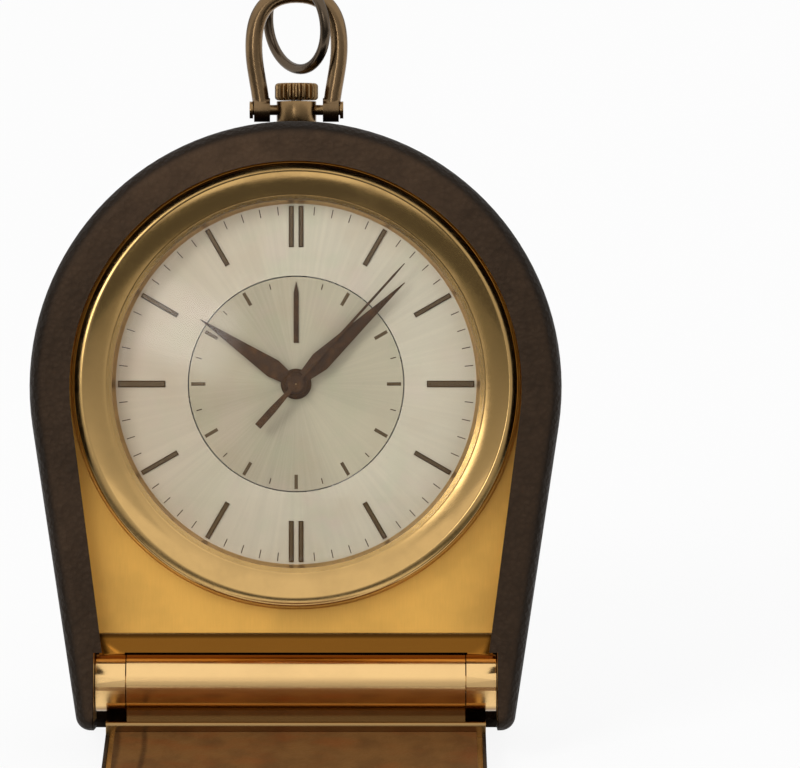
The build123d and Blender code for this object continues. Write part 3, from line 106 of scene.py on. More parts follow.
class ClockColours(bpy.types.PropertyGroup):
    """The colours that a user would change"""

    leather: colour("Case leather", "Near-black brown leather outside", (0.0108, 0.0066, 0.0042))
    # Tone for the rubbed places: real wear, and on the case rim also the painted sheen towards the top.
    leather_worn_and_sheen: colour("Worn leather", "Leather where hands have rubbed it", (0.055, 0.032, 0.018))
    lining: colour("Lining", "Brown leather inside the lid", (0.190, 0.086, 0.024))
    lining_dark: colour("Lining, dark", "Darker streaks of the lining", (0.062, 0.025, 0.008))
    lining_edge: colour("Cut edge", "Greyish cut edge of the lining", (0.235, 0.175, 0.095))
    gilt: colour("Gilt", "Polished gilt of the bezel and the knobs", (0.66, 0.42, 0.16))
    gilt_plate: colour("Plate gilt", "Warm gilt of the front plate", (0.96, 0.53, 0.11))
    gilt_hinge: colour("Hinge gilt", "Pale gilt of the hinge barrel", (0.92, 0.60, 0.26))
    gilt_worn: colour("Worn gilt", "Browned gilt of the neck and the crown", (0.32, 0.20, 0.09))
    # The bow and the ring: the gilt made much darker, as painted shade; their materials add tarnish patches on
    # top.
    gilt_bow_painted_shade: colour("Bow", "Dull gilt of the bow", (0.235, 0.150, 0.075))
    gilt_ring_painted_shade: colour("Ring", "Darkened gilt of the ring", (0.120, 0.088, 0.060))
    dial: colour("Dial", "Silvered dial", (0.66, 0.60, 0.475))
    disc: colour("Alarm disc", "Silvered alarm disc, a little darker", (0.53, 0.475, 0.350))
    marker: colour("Hour batons", "Browned metal of the batons", (0.17, 0.115, 0.065))
    ink: colour("Hands", "Dark brown of the hands and the fine marks", (0.055, 0.023, 0.006))
    nickel: colour("Nickel", "Plated plates and bridges", (0.62, 0.60, 0.56))
    steel: colour("Steel", "Bright steel of the inner parts", (0.52, 0.51, 0.49))
    blued: colour("Blued steel", "Springs and screws", (0.03, 0.05, 0.16))
    brass: colour("Brass", "Brass of the wheels", (0.68, 0.48, 0.20))
    rubber: colour("Gasket", "Black seat of the crystal", (0.02, 0.02, 0.02))


def size(key):
    """One of the sizes, in millimetres."""
    return getattr(bpy.context.scene.clock_sizes, key) / MM


def tone(key):
    """One of the colours, as three numbers."""
    return tuple(getattr(bpy.context.scene.clock_colours, key))


def shaded(tint, gain):
    """A colour times one gain, or times one for each channel, and never over white."""
    gains = gain if isinstance(gain, tuple) else (gain,) * 3
    return tuple(min(1.0, part * share) for part, share in zip(tint, gains))


# Shader maths


class Wire:
    """A number that runs through a material's nodes, with the usual signs for maths on it."""

    def __init__(self, bench, socket):
        self.bench, self.socket = bench, socket

    def maths(self, operation, other=0.0, swapped=False):
        pair = (other, self) if swapped else (self, other)
        node = self.bench.add("ShaderNodeMath", {0: pair[0], 1: pair[1]}, operation=operation)
        return Wire(self.bench, node.outputs[0])

    def __add__(self, other):
        return self.maths("ADD", other)

    def __sub__(self, other):
        return self.maths("SUBTRACT", other)

    def __rsub__(self, other):
        return self.maths("SUBTRACT", other, swapped=True)

    def __mul__(self, other):
        return self.maths("MULTIPLY", other)

    def __truediv__(self, other):
        return self.maths("DIVIDE", other)

    def __pow__(self, other):
        return self.maths("POWER", other)

    def __abs__(self):
        return self.maths("ABSOLUTE")

    __radd__ = __add__
    __rmul__ = __mul__

    def step(self, low, high):
        """0 below low, 1 above high, and smooth in between."""
        node = self.bench.add(
            "ShaderNodeMapRange", {"Value": self, "From Min": low, "From Max": high},
            interpolation_type="SMOOTHSTEP")
        return Wire(self.bench, node.outputs[0])


class Bench:
    """One material or world, with the methods that put its nodes together."""

    def __init__(self, name, kind="materials"):
        self.owner = getattr(bpy.data, kind).new(name)
        self.owner.use_nodes = True
        self.tree = self.owner.node_tree
        self.tree.nodes.clear()
        self.coords = None

    def add(self, kind, values=None, **settings):
        """Any node: its type, the values or links of its sockets, and its settings, which are set first."""
        node = self.tree.nodes.new(kind)
        for key, value in settings.items():
            setattr(node, key, value)
        for key, value in (values or {}).items():
            socket = node.inputs[key]
            if isinstance(value, Wire):
                self.tree.links.new(value.socket, socket)
            elif isinstance(value, bpy.types.NodeSocket):
                self.tree.links.new(value, socket)
            elif socket.type == "RGBA" and len(value) == 3:
                socket.default_value = (*value, 1.0)
            else:
                socket.default_value = value
        return node

    def place(self):
        """The place on the piece, in metres."""
        if self.coords is None:
            self.coords = self.add("ShaderNodeTexCoord").outputs["Object"]
        return self.coords

    def along(self, vector, axis):
        """How far a vector reaches along an axis."""
        node = self.add("ShaderNodeVectorMath", {0: vector, 1: tuple(axis)}, operation="DOT_PRODUCT")
        return Wire(self, node.outputs["Value"])

    def face(self):
        """The place on the piece in the face frame, in millimetres."""
        away = self.add("ShaderNodeVectorMath", {0: self.place(), 1: tuple(MIDDLE)}, operation="SUBTRACT")
        return [self.along(away.outputs[0], axis / MM) for axis in (RIGHT, UP, OUT)]

    def vector(self, x, y, z):
        return self.add("ShaderNodeCombineXYZ", {0: x, 1: y, 2: z}).outputs[0]

    def noise(self, scale, detail=3.0, vector=None):
        """Cloudy noise from 0 to 1, its scale for a metre or for one unit of the vector."""
        node = self.add("ShaderNodeTexNoise", {
            "Vector": vector or self.place(), "Scale": scale, "Detail": detail, "Roughness": 0.55})
        return Wire(self, node.outputs[0])

    def cells(self, scale, vector=None):
        """The distance to the middle of a cell, with the scale as for noise."""
        node = self.add("ShaderNodeTexVoronoi", {"Vector": vector or self.place(), "Scale": scale})
        return Wire(self, node.outputs["Distance"])

    def mix(self, share, first, second):
        """Two colours mixed, by the share of the second. Sockets 6 and 7 are the node's colours."""
        return self.add("ShaderNodeMix", {0: share, 6: first, 7: second}, data_type="RGBA").outputs[2]

    def layered(self, ground, *layers):
        """A ground colour with layers over it, each given as a share and a colour."""
        for share, tint in layers:
            ground = self.mix(share, ground, tint)
        return ground

    def bump(self, height, depth, strength):
        """A relief whose full height is a depth in millimetres."""
        values = {"Height": height, "Distance": depth * MM, "Strength": strength}
        return self.add("ShaderNodeBump", values).outputs[0]

    def blend(self, share, first, second):
        """Two shaders mixed, by the share of the second."""
        return self.add("ShaderNodeMixShader", {0: share, 1: first, 2: second}).outputs[0]

    def seen(self):
        """1 where the camera, a polished surface or glass looks at it, and 0 elsewhere."""
        path = self.add("ShaderNodeLightPath")
        rays = [Wire(self, path.outputs[f"Is {kind} Ray"]) for kind in ("Camera", "Glossy", "Transmission")]
        return rays[0].maths("MAXIMUM", rays[1]).maths("MAXIMUM", rays[2])

    def surface(self, shader, kind="Material"):
        """Ends the nodes with a shader, and gives back what they belong to."""
        self.add(f"ShaderNodeOutput{kind}", {"Surface": shader})
        return self.owner

    def finish(self, values):
        """Ends the nodes with the usual shader for solid things, set to these values."""
        return self.surface(self.add("ShaderNodeBsdfPrincipled", values).outputs[0])


# Materials


def metal(name, tint, rough, tarnish=0.25, scratch=0.003, dark=0.55):
    """Plated metal: patches of tarnish, rubbed roughness and fine scratches."""
    bench = Bench(name)
    patch = bench.noise(160, 4).step(0.42, 0.72)
    fine = bench.noise(2600, 2)
    drawn = bench.add("ShaderNodeMapping", {
        "Vector": bench.place(), "Rotation": (0.3, 0.5, 0.7), "Scale": (1.0, 14.0, 3.0)}).outputs[0]
    lines = bench.noise(900, 2, drawn)
    return bench.finish({
        "Base Color": bench.mix(patch * tarnish + fine * tarnish * 0.25, tint, shaded(tint, dark)),
        "Metallic": 1.0,
        "Roughness": rough + patch * 0.10 + (lines - 0.5) * 0.10,
        "Normal": bench.bump(lines, scratch, 0.35),
    })


def plate_metal():
    """The front plate: warm gilt with a fine upright grain."""
    bench = Bench("plate_gilt")
    x, y, _ = bench.face()
    grain = bench.noise(1.0, 3, bench.vector(x * 9.0, y * 0.6, 0.0))
    patch = bench.noise(0.16, 3, bench.vector(x, y, 4.0)).step(0.35, 0.7)
    tint = tone("gilt_plate")
    return bench.finish({
        "Base Color": bench.mix(patch * 0.45 + grain * 0.30, tint, shaded(tint, 0.68)),
        "Metallic": 0.65,
        "Roughness": 0.36 + grain * 0.14,
        "Normal": bench.bump(grain, 0.02, 0.5),
    })


def hinge_metal():
    """The hinge: bright on its barrel, with painted shade in the channel above it, a painted shadow line at its
    top, and painted shade on the leaf below it.
    """
    bench = Bench("hinge_gilt")
    _, y, _ = bench.face()
    patch = bench.noise(160, 4).step(0.42, 0.72)
    scuff = bench.noise(900, 3)
    # Painted shade in the channel over the barrel, and a painted shadow line where the hinge meets the plate.
    channel = y.step(-24.15, -23.95)
    painted_shadow_line = y.step(-22.35, -22.05)
    # Painted shade on the leaf below the barrel.
    painted_leaf_shade = 1.0 - y.step(-28.45, -28.05)
    bright = tone("gilt_hinge")
    body = bench.layered(
        bright,
        (patch * 0.14 + scuff * 0.06, shaded(bright, 0.6)),
        (channel * 0.95, (0.34, 0.125, 0.008)),
        (painted_shadow_line * 0.8, (0.06, 0.022, 0.004)),
        (painted_leaf_shade * 0.9, (0.30, 0.18, 0.07)),
    )
    return bench.finish({
        "Base Color": body,
        "Metallic": 1.0,
        "Roughness": 0.16 + patch * 0.04 + scuff * 0.02,
    })


def turned_metal(name, tint, rough, pitch):
    """Metal with the fine rings that a lathe leaves, round the dial's middle."""
    bench = Bench(name)
    x, y, _ = bench.face()
    radius = (x * x + y * y) ** 0.5
    rings = (radius * (2 * math.pi / pitch)).maths("SINE")
    patch = bench.noise(110, 4).step(0.4, 0.75)
    scuff = bench.noise(700, 3)
    dullness = patch * 0.35 + scuff * 0.1 + rings * 0.10 + 0.1
    return bench.finish({
        "Base Color": bench.mix(dullness, tint, shaded(tint, 0.5)),
        "Metallic": 1.0,
        "Roughness": rough + patch * 0.12 + scuff * 0.08,
        "Normal": bench.bump(rings * 0.5 + scuff, 0.01, 0.5),
    })


def hide(name, tint, worn_and_sheen, rim_wear_and_painted_light=False):
    """Fine-grained leather: pebbled grain, creases, a rubbed tone on the high places, and on the rim a painted top
    sheen and painted wall shade.
    """
    bench = Bench(name)
    grain, pores = bench.cells(2100), bench.cells(5200)
    fold = bench.noise(520, 4)
    broad = bench.noise(70, 3).step(0.40, 0.72)
    rub_and_sheen = broad * 0.35 + (1.0 - grain) * 0.22
    if rim_wear_and_painted_light:
        _, y, _ = bench.face()
        normal = bench.add("ShaderNodeNewGeometry").outputs["Normal"]
        flat = bench.along(normal, OUT).step(0.80, 1.0)
        crest = flat * 0.45 * fold
        # Painted sheen: the rim's crest lighter towards the top of the case.
        painted_top_sheen = y.step(8.0, 24.0) * 1.3
        rub_and_sheen = rub_and_sheen * (0.3 + flat * 0.7) + crest + painted_top_sheen * crest
        # Painted shade: the rim's outer walls, turned away from the front, darker, with less of the rubbed tone
        # given to them just above.
        tint = bench.mix(flat, shaded(tint, 0.35), tint)
    return bench.finish({
        "Base Color": bench.mix(rub_and_sheen, tint, worn_and_sheen),
        "Roughness": 0.40 + fold * 0.16 + broad * 0.08,
        "Specular IOR Level": 0.20,
        "Specular Tint": (1.0, 0.78, 0.60),
        "Normal": bench.bump(grain * 0.7 + fold * 0.8 + pores * 0.2, 0.13, 0.85),
    })


def lining_leather():
    """The lining: brown skiver with darker blotches, two lines of painted crease shade and a pale cut edge at each
    side.
    """
    bench = Bench("lining_leather")
    spread = bench.add("ShaderNodeSeparateXYZ", {0: bench.place()})
    x, y = (Wire(bench, spread.outputs[axis]) / MM for axis in (0, 1))
    _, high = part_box("lid_lining")
    half = high[0] / MM
    streak = bench.noise(1.0, 4, bench.vector(x * 0.30, y * 0.14, 2.0)).step(0.36, 0.70)
    blot = bench.noise(0.22, 3, bench.vector(x, y, 7.0)).step(0.4, 0.7)
    # Painted shade: two dark wandering lines near the left side, standing for the shade in creases.
    wander = x + (bench.noise(1.0, 3, bench.vector(0.0, y * 0.12, 5.0)) - 0.5) * 0.8
    creases = 1.0 - abs(wander + 15.6).step(0.1, 0.5) * abs(wander + 13.2).step(0.05, 0.4)
    side = abs(x).step(half - 1.0, half - 0.25)
    brown, dark = tone("lining"), tone("lining_dark")
    body = bench.layered(
        brown,
        (streak * 0.45, dark),
        (blot * 0.5, shaded(brown, (1.15, 0.72, 0.55))),
        (creases * 0.6, shaded(dark, 0.5)),
        (side * 0.8, tone("lining_edge")),
    )
    flat = bench.vector(x, y, 0.0)
    return bench.finish({
        "Base Color": body,
        "Roughness": 0.60 + streak * 0.15,
        "Specular IOR Level": 0.12,
        "Normal": bench.bump(bench.cells(3.2, flat) * 0.6 + bench.noise(2.2, 4, flat), 0.06, 0.6),
    })


def silvered(name, tint, spread, turn):
    """Silvered dial metal, with a sunburst brushed from its middle and a little age, and painted light: dark fans,
    shade to the left, sheen to the right and a bright sector.
    """
    bench = Bench(name)
    x, y, _ = bench.face()
    angle = y.maths("ARCTAN2", x)
    radius = (x * x + y * y) ** 0.5
    rays = bench.noise(1.0, 3, bench.vector(angle * 34.0, radius * 0.05, 0.0))
    # Painted shade: broad fan-shaped darker sectors, standing for the sunburst's reflection; the spread sets their
    # share.
    painted_fan_shade = bench.noise(1.0, 2, bench.vector(angle.maths("SINE") * 1.3, angle.maths("COSINE") * 1.3, turn))
    age = bench.noise(0.24, 4, bench.vector(x, y, turn)).step(0.45, 0.75)
    green = bench.noise(0.20, 3, bench.vector(x, y, turn + 5.0)).step(0.48, 0.66)
    pink = bench.noise(0.26, 3, bench.vector(x, y, turn + 9.0)).step(0.52, 0.70)
    # Painted highlight: a bright sector right of and below the middle.
    glance = (x - y) / (radius + 0.5)
    painted_highlight_sector = glance.step(1.05, 1.42) * (1.0 - radius.step(7.0, 13.0))
    specks = 1.0 - bench.cells(1.6, bench.vector(x, y, 1.0)).step(0.0, 0.10)
    ground = bench.layered(
        tint,
        (painted_fan_shade.step(0.40, 0.62) * spread, shaded(tint, 0.74)),
        (rays.step(0.35, 0.7) * 0.30, shaded(tint, 1.25)),
        (age * 0.28, shaded(tint, (0.86, 0.74, 0.66))),
        (green * 0.30, shaded(tint, (0.80, 0.94, 0.84))),
        (pink * 0.30, shaded(tint, (1.04, 0.90, 1.02))),
        # Painted shade towards the left and a painted sheen towards the right.
        ((1.0 - x.step(-16.0, 4.0)) * 0.50, shaded(tint, (0.90, 0.76, 0.70))),
        (x.step(3.0, 14.0) * 0.45, shaded(tint, 1.20)),
        (painted_highlight_sector * 0.55, shaded(tint, 1.22)),
        (specks * 0.25, (0.20, 0.15, 0.10)),
    )
    return bench.finish({
        "Base Color": ground,
        "Metallic": 0.15,
        "Roughness": 0.40 + rays * 0.12,
        "Normal": bench.bump(rays, 0.01, 0.5),
    })


def dark_lacquer():
    """Dark browned steel of the hands."""
    bench = Bench("hand_dark")
    fleck = bench.noise(1500, 3)
    tint = tone("ink")
    return bench.finish({
        "Base Color": bench.mix(fleck.step(0.4, 0.8) * 0.5, tint, shaded(tint, 3.0)),
        "Metallic": 0.20,
        "Specular IOR Level": 0.35,
        "Roughness": 0.34 + fleck * 0.12,
    })


def glass():
    """The crystal: clear, with the sheen of a thin polished dome."""
    bench = Bench("crystal")
    clear = bench.add("ShaderNodeBsdfTransparent", {"Color": (0.985, 0.985, 0.975)}).outputs[0]
    shine = bench.add("ShaderNodeBsdfGlossy", {"Color": (1.0, 1.0, 1.0), "Roughness": 0.012}).outputs[0]
    edge = Wire(bench, bench.add("ShaderNodeFresnel", {"IOR": 1.49}).outputs[0])
    smear = bench.noise(240, 3).step(0.3, 0.8)
    return bench.surface(bench.blend(edge * (0.26 + smear * 0.08), clear, shine))


def make_materials():
    leather, leather_worn_and_sheen, rubber = tone("leather"), tone("leather_worn_and_sheen"), tone("rubber")
    return {
        "case_leather": hide("case_leather", leather, leather_worn_and_sheen, rim_wear_and_painted_light=True),
        "lid_leather": hide("lid_leather", leather, leather_worn_and_sheen),
        "lid_lining": lining_leather(),
        "gilt_polished": metal("gilt_polished", tone("gilt"), 0.13, tarnish=0.35),
        "gilt_plate": plate_metal(),
        "gilt_satin": turned_metal("gilt_satin", tone("gilt"), 0.30, pitch=0.22),
        "bail_gilt": metal("bail_gilt", tone("gilt_bow_painted_shade"), 0.22, tarnish=0.75, scratch=0.005, dark=0.35),
        "ring_gilt": metal("ring_gilt", tone("gilt_ring_painted_shade"), 0.22, tarnish=0.80, scratch=0.005, dark=0.35),
        "hinge_gilt": hinge_metal(),
        "worn_gilt": metal("worn_gilt", tone("gilt_worn"), 0.20, tarnish=0.6, scratch=0.004, dark=0.45),
        "crystal": glass(),
        "gasket": hide("gasket", rubber, shaded(rubber, 3.0)),
        "dial_silver": silvered("dial_silver", tone("dial"), spread=0.35, turn=1.7),
        "dial_alarm": silvered("dial_alarm", tone("disc"), spread=0.60, turn=6.1),
        "marker": metal("marker", tone("marker"), 0.30, tarnish=0.3),
        "hand_dark": dark_lacquer(),
        "nickel": metal("nickel", tone("nickel"), 0.25),
        "wheel_brass": metal("wheel_brass", tone("brass"), 0.28),
        "steel": metal("steel", tone("steel"), 0.24),
        "blued_steel": metal("blued_steel", tone("blued"), 0.22),
    }


MATERIALS = {}

# Shaping


def lone(piece):
    """Makes one object the only selected and active one."""
    if bpy.context.object and bpy.context.object.mode != "OBJECT":
        bpy.ops.object.mode_set(mode="OBJECT")
    bpy.ops.object.select_all(action="DESELECT")
    piece.select_set(True)
    bpy.context.view_layer.objects.active = piece


def edit(piece, select="SELECT"):
    """Opens a piece in edit mode, with all or none of it selected."""
    lone(piece)
    bpy.ops.object.mode_set(mode="EDIT")
    bpy.ops.mesh.select_mode(type="VERT")
    bpy.ops.mesh.select_all(action=select)


def picked(piece, test):
    """Selects, in edit mode, the vertices whose place passes the test."""
    edit(piece, "DESELECT")
    bpy.ops.object.mode_set(mode="OBJECT")
    for vertex in piece.data.vertices:
        vertex.select = test(vertex.co)
    bpy.ops.object.mode_set(mode="EDIT")


def applied(piece, kind, **settings):
    """Adds a modifier, sets it and applies it."""
    lone(piece)
    modifier = piece.modifiers.new(kind.title(), kind)
    for key, value in settings.items():
        setattr(modifier, key, value)
    bpy.ops.object.modifier_apply(modifier=modifier.name)
    return piece


def eased(piece, width, angle=40.0):
    """Bevels the edges of a piece that are sharper than an angle."""
    turn = math.radians(angle)
    return applied(piece, "BEVEL", width=width * MM, segments=2, limit_method="ANGLE", angle_limit=turn)


def smoothed(piece, angle):
    lone(piece)
    bpy.ops.object.shade_smooth_by_angle(angle=math.radians(angle))
    return applied(piece, "WEIGHTED_NORMAL", keep_sharp=True, weight=60)


def given(piece, slot, body, *nodes, finish=None):
    """Hands a finished piece the material of its slot or its finish, puts it under its body, and hides the nodes
    it stands for.
    """
    piece.data.materials.clear()
    piece.data.materials.append(MATERIALS[finish or slot])
    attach(piece, body)
    if nodes:
        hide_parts(*nodes)


def placed(piece):
    """Moves a piece's shape from the face frame to its place, with its object at the origin."""
    piece.data.transform(FACE @ piece.matrix_basis)
    piece.matrix_basis = Matrix.Identity(4)
    return piece


def refined(node, edge=0.0, angle=32.0, finish=None):
    """A node's own shape with its loose triangles joined, its edges eased and shaded smooth."""
    piece = bpy.data.objects.new(f"{node}_finished", frame["nodes"][node].data.copy())
    bpy.context.scene.collection.objects.link(piece)
    edit(piece)
    bpy.ops.mesh.remove_doubles(threshold=WELD)
    bpy.ops.object.mode_set(mode="OBJECT")
    if edge:
        eased(piece, edge)
    smoothed(piece, angle)
    given(piece, SLOT_OF[node], BODY_OF[node], node, finish=finish)


def lathed(name, points, steps):
    """A closed section, as (radius, height), spun about the dial's middle."""
    bpy.ops.mesh.primitive_plane_add(size=MM, location=(0, 0, 0))
    piece = bpy.context.object
    piece.name = piece.data.name = name
    edit(piece)
    bpy.ops.mesh.merge(type="CENTER")
    bpy.ops.transform.translate(value=(points[0][0] * MM, 0, points[0][1] * MM))
    for (r, z), (next_r, next_z) in zip(points, points[1:]):
        reach = ((next_r - r) * MM, 0, (next_z - z) * MM)
        bpy.ops.mesh.extrude_region_move(TRANSFORM_OT_translate={"value": reach})
    bpy.ops.mesh.select_all(action="SELECT")
    bpy.ops.mesh.spin(steps=steps, angle=2 * math.pi, center=(0, 0, 0), axis=(0, 0, 1))
    bpy.ops.mesh.select_all(action="SELECT")
    bpy.ops.mesh.remove_doubles(threshold=WELD)
    bpy.ops.mesh.normals_make_consistent(inside=False)
    bpy.ops.object.mode_set(mode="OBJECT")
    return piece


def arc(first, middle, last, count):
    """Points on the arc through three (radius, height) places."""
    (ax, ay), (bx, by), (cx, cy) = first, middle, last
    aa, bb, cc = ax**2 + ay**2, bx**2 + by**2, cx**2 + cy**2
    d = 2 * (ax * (by - cy) + bx * (cy - ay) + cx * (ay - by))
    ux = (aa * (by - cy) + bb * (cy - ay) + cc * (ay - by)) / d
    uy = (aa * (cx - bx) + bb * (ax - cx) + cc * (bx - ax)) / d
    start, mid, end = (math.atan2(y - uy, x - ux) for x, y in (first, middle, last))
    turn = 2 * math.pi
    sweep = (end - start) % turn
    if (mid - start) % turn > sweep:
        sweep -= turn
    radius = math.hypot(ax - ux, ay - uy)
    angles = [start + sweep * i / count for i in range(count + 1)]
    return [(ux + radius * math.cos(angle), uy + radius * math.sin(angle)) for angle in angles]


def joined(name, pieces):
    bpy.ops.object.select_all(action="DESELECT")
    for piece in pieces:
        piece.select_set(True)
    bpy.context.view_layer.objects.active = pieces[0]
    bpy.ops.object.join()
    whole = bpy.context.object
    whole.name = whole.data.name = name
    return whole


def tick(reach_in, reach_out, wide, low, high):
    """One printed or applied mark that points at twelve, with its top edges eased."""
    long = reach_out - reach_in
    middle, half_up = (reach_in + reach_out) / 2 * MM, (low + high) / 2 * MM
    bpy.ops.mesh.primitive_cube_add(size=1, location=(0, middle, half_up))
    mark = bpy.context.object
    mark.scale = (wide * MM, long * MM, (high - low) * MM)
    bpy.ops.object.transform_apply(location=True, rotation=False, scale=True)
    picked(mark, lambda co: co.z > half_up)
    bpy.ops.transform.resize(value=(0.8, 1 - 0.2 * wide / long, 1), center_override=(0, middle, 0))
    bpy.ops.object.mode_set(mode="OBJECT")
    return mark


def marks_round(name, mark, angles):
    """Copies of one mark, each with its own mesh, at clock angles round the dial."""
    copies = []
    for angle in angles:
        copy = bpy.data.objects.new(name, mark.data.copy())
        bpy.context.scene.collection.objects.link(copy)
        copy.data.transform(Matrix.Rotation(-math.radians(angle), 4, "Z"))
        copies.append(copy)
    bpy.data.objects.remove(mark)
    return placed(joined(name, copies))


def leaf(long, wide, waist, root, low, thick):
    """A hand's leaf that points at twelve: widest at its waist, with a point and a ridge."""
    skin, ridge = thick * 0.4, thick * 0.55
    near_tip = 0.9
    bpy.ops.mesh.primitive_plane_add(size=1, location=(0, 0, 0))
    piece = bpy.context.object
    piece.scale = (wide * 2 * MM, long * MM, 1)
    piece.location = (0, long / 2 * MM, (low + skin) * MM)
    bpy.ops.object.transform_apply(location=True, rotation=False, scale=True)
    edit(piece)
    bpy.ops.mesh.bisect(plane_co=(0, 0, 0), plane_no=(1, 0, 0))
    for share in (waist, near_tip):
        bpy.ops.mesh.select_all(action="SELECT")
        bpy.ops.mesh.bisect(plane_co=(0, long * share * MM, 0), plane_no=(0, 1, 0))
    for place, share in ((0.0, root / wide), (near_tip, 0.16), (1.0, 0.04)):
        up = long * place * MM
        picked(piece, lambda co, up=up: abs(co.y - up) < NEAR * MM)
        bpy.ops.transform.resize(value=(share, 1, 1), center_override=(0, up, 0))
    picked(piece, lambda co: abs(co.x) < NEAR * MM)
    bpy.ops.transform.translate(value=(0, 0, ridge * MM))
    bpy.ops.object.mode_set(mode="OBJECT")
    return applied(piece, "SOLIDIFY", thickness=skin * MM, offset=-1)


def hand(name, angle, long, wide, waist, root, boss, low, thick=0.15):
    """A hand at a clock angle: its leaf, and a round boss with an eased top."""
    blade = leaf(long, wide, waist, root, low, thick)
    bpy.ops.mesh.primitive_cylinder_add(
        vertices=64, radius=boss * MM, depth=thick * MM, location=(0, 0, (low + thick / 2) * MM))
    hub = bpy.context.object
    bpy.ops.object.transform_apply(location=True, rotation=False, scale=True)
    picked(hub, lambda co: co.z > (low + thick * 0.9) * MM)
    bpy.ops.transform.resize(value=(0.86, 0.86, 1), center_override=(0, 0, low * MM))
    bpy.ops.object.mode_set(mode="OBJECT")
    whole = joined(name, [blade, hub])
    whole.data.transform(Matrix.Rotation(-math.radians(angle), 4, "Z"))
    return smoothed(placed(whole), 20)


# The stage, in metres

# Cards that stand round the clock: two opposite corners, and the tones at their foot and their top
CARDS = (
    ("card_front", ((-3.0, -1.1, 0.25), (3.0, -1.1, 0.85)), (0.52, 0.95)),
    ("card_low", ((-3.0, -1.1, 0.0), (3.0, -1.1, 0.25)), (0.52, 0.52)),
    ("card_left", ((-3.0, -1.05, 0.01), (-0.38, -1.05, 0.75)), (0.22, 0.50)),
    ("card_right", ((0.38, -1.05, 0.01), (3.0, -1.05, 0.75)), (0.30, 0.62)),
    ("card_table", ((-1.5, -1.1, 0.001), (1.5, -0.075, 0.001)), (0.11, 0.11)),
    ("card_back", ((-3.0, 1.1, 0.02), (3.0, 1.1, 0.9)), (0.40, 1.0)),
)

# Lamps in the face frame: place, power in watts, width and height, and the place they look at
LAMPS = (
    ("key_light", (-0.30, 0.24, 0.46), 1.6, (0.22, 0.30), (0.0, 0.0, 0.0)),
    ("fill_light", (0.42, 0.02, 0.45), 0.6, (0.30, 0.40), (0.0, 0.0, 0.0)),
    ("back_light", (0.10, 0.45, -0.35), 0.5, (0.30, 0.30), (0.0, 0.01, -0.02)),
)


def lamp(name, place, power, wide, aim):
    """A soft lamp that no polished surface shows."""
    light = bpy.data.lights.new(name, "AREA")
    light.shape = "RECTANGLE"
    light.size, light.size_y = wide
    light.energy = power
    holder = bpy.data.objects.new(name, light)
    bpy.context.scene.collection.objects.link(holder)
    holder.location = FACE @ Vector(place)
    holder.rotation_euler = (FACE @ Vector(aim) - holder.location).to_track_quat("-Z", "Y").to_euler()
    holder.visible_glossy = False


def card(name, corners, tones, stand=None):
    """A card that only polished surfaces see. A matrix as its stand moves it and softens its edges."""
    (left, near, low), (right, far, high) = corners
    bpy.ops.mesh.primitive_plane_add(size=1, location=(0, 0, 0))
    piece = bpy.context.object
    piece.name = piece.data.name = name
    places = ((left, near, low), (right, near, low), (left, far, high), (right, far, high))
    for vertex, place in zip(piece.data.vertices, places):
        vertex.co = place
    bench = Bench(name)
    sides = bench.add("ShaderNodeSeparateXYZ", {0: bench.add("ShaderNodeTexCoord").outputs["UV"]})
    across, up = (Wire(bench, sides.outputs[axis]) for axis in (0, 1))
    shade = bench.mix(up.step(0.0, 1.0), (tones[0],) * 3, (tones[1],) * 3)
    shader = bench.add("ShaderNodeEmission", {"Color": shade, "Strength": 1.0}).outputs[0]
    if stand:
        piece.data.transform(stand)
        clear = bench.add("ShaderNodeBsdfTransparent").outputs[0]
        soft_across = across.step(0.0, 0.3) * (1.0 - across.step(0.7, 1.0))
        soft_up = up.step(0.0, 0.3) * (1.0 - up.step(0.7, 1.0))
        shader = bench.blend(soft_across * soft_up, clear, shader)
    piece.data.materials.append(bench.surface(shader))
    for ray in ("camera", "diffuse", "shadow", "transmission"):
        setattr(piece, f"visible_{ray}", False)


def soft_card(name, tilt, azimuth, far, wide, shade):
    """A soft-edged bright card that faces the dial, at a tilt from its normal and an azimuth round it."""
    tilt, azimuth = math.radians(tilt), math.radians(azimuth)
    side = math.sin(tilt)
    aim = far * Vector((side * math.cos(azimuth), side * math.sin(azimuth), math.cos(tilt)))
    turn = Matrix.Translation(aim) @ aim.to_track_quat("Z", "Y").to_matrix().to_4x4()
    half, tall = wide[0] / 2, wide[1] / 2
    card(name, ((-half, -tall, 0.0), (half, tall, 0.0)), (shade, shade), FACE @ turn)


def white_floor():
    """A pale floor that shows as white and keeps the clock's shadow."""
    bpy.ops.mesh.primitive_plane_add(size=6, location=(0, 0, 0))
    floor = bpy.context.object
    floor.name = floor.data.name = "floor"
    bench = Bench("floor_white")
    paint = bench.add("ShaderNodeBsdfDiffuse", {"Color": (0.90, 0.90, 0.90)}).outputs[0]
    glow = bench.add("ShaderNodeEmission", {"Color": (1.0, 1.0, 1.0), "Strength": 1.0}).outputs[0]
    floor.data.materials.append(bench.surface(bench.blend(bench.seen() * 0.9, paint, glow)))


def white_world():
    """A world that shows as white and lights the clock softly."""
    bench = Bench("studio", "worlds")
    soft, white = (
        bench.add("ShaderNodeBackground", {"Color": (1.0, 1.0, 1.0), "Strength": strength}).outputs[0]
        for strength in (0.55, 1.0))
    bpy.context.scene.world = bench.surface(bench.blend(bench.seen(), soft, white), "World")


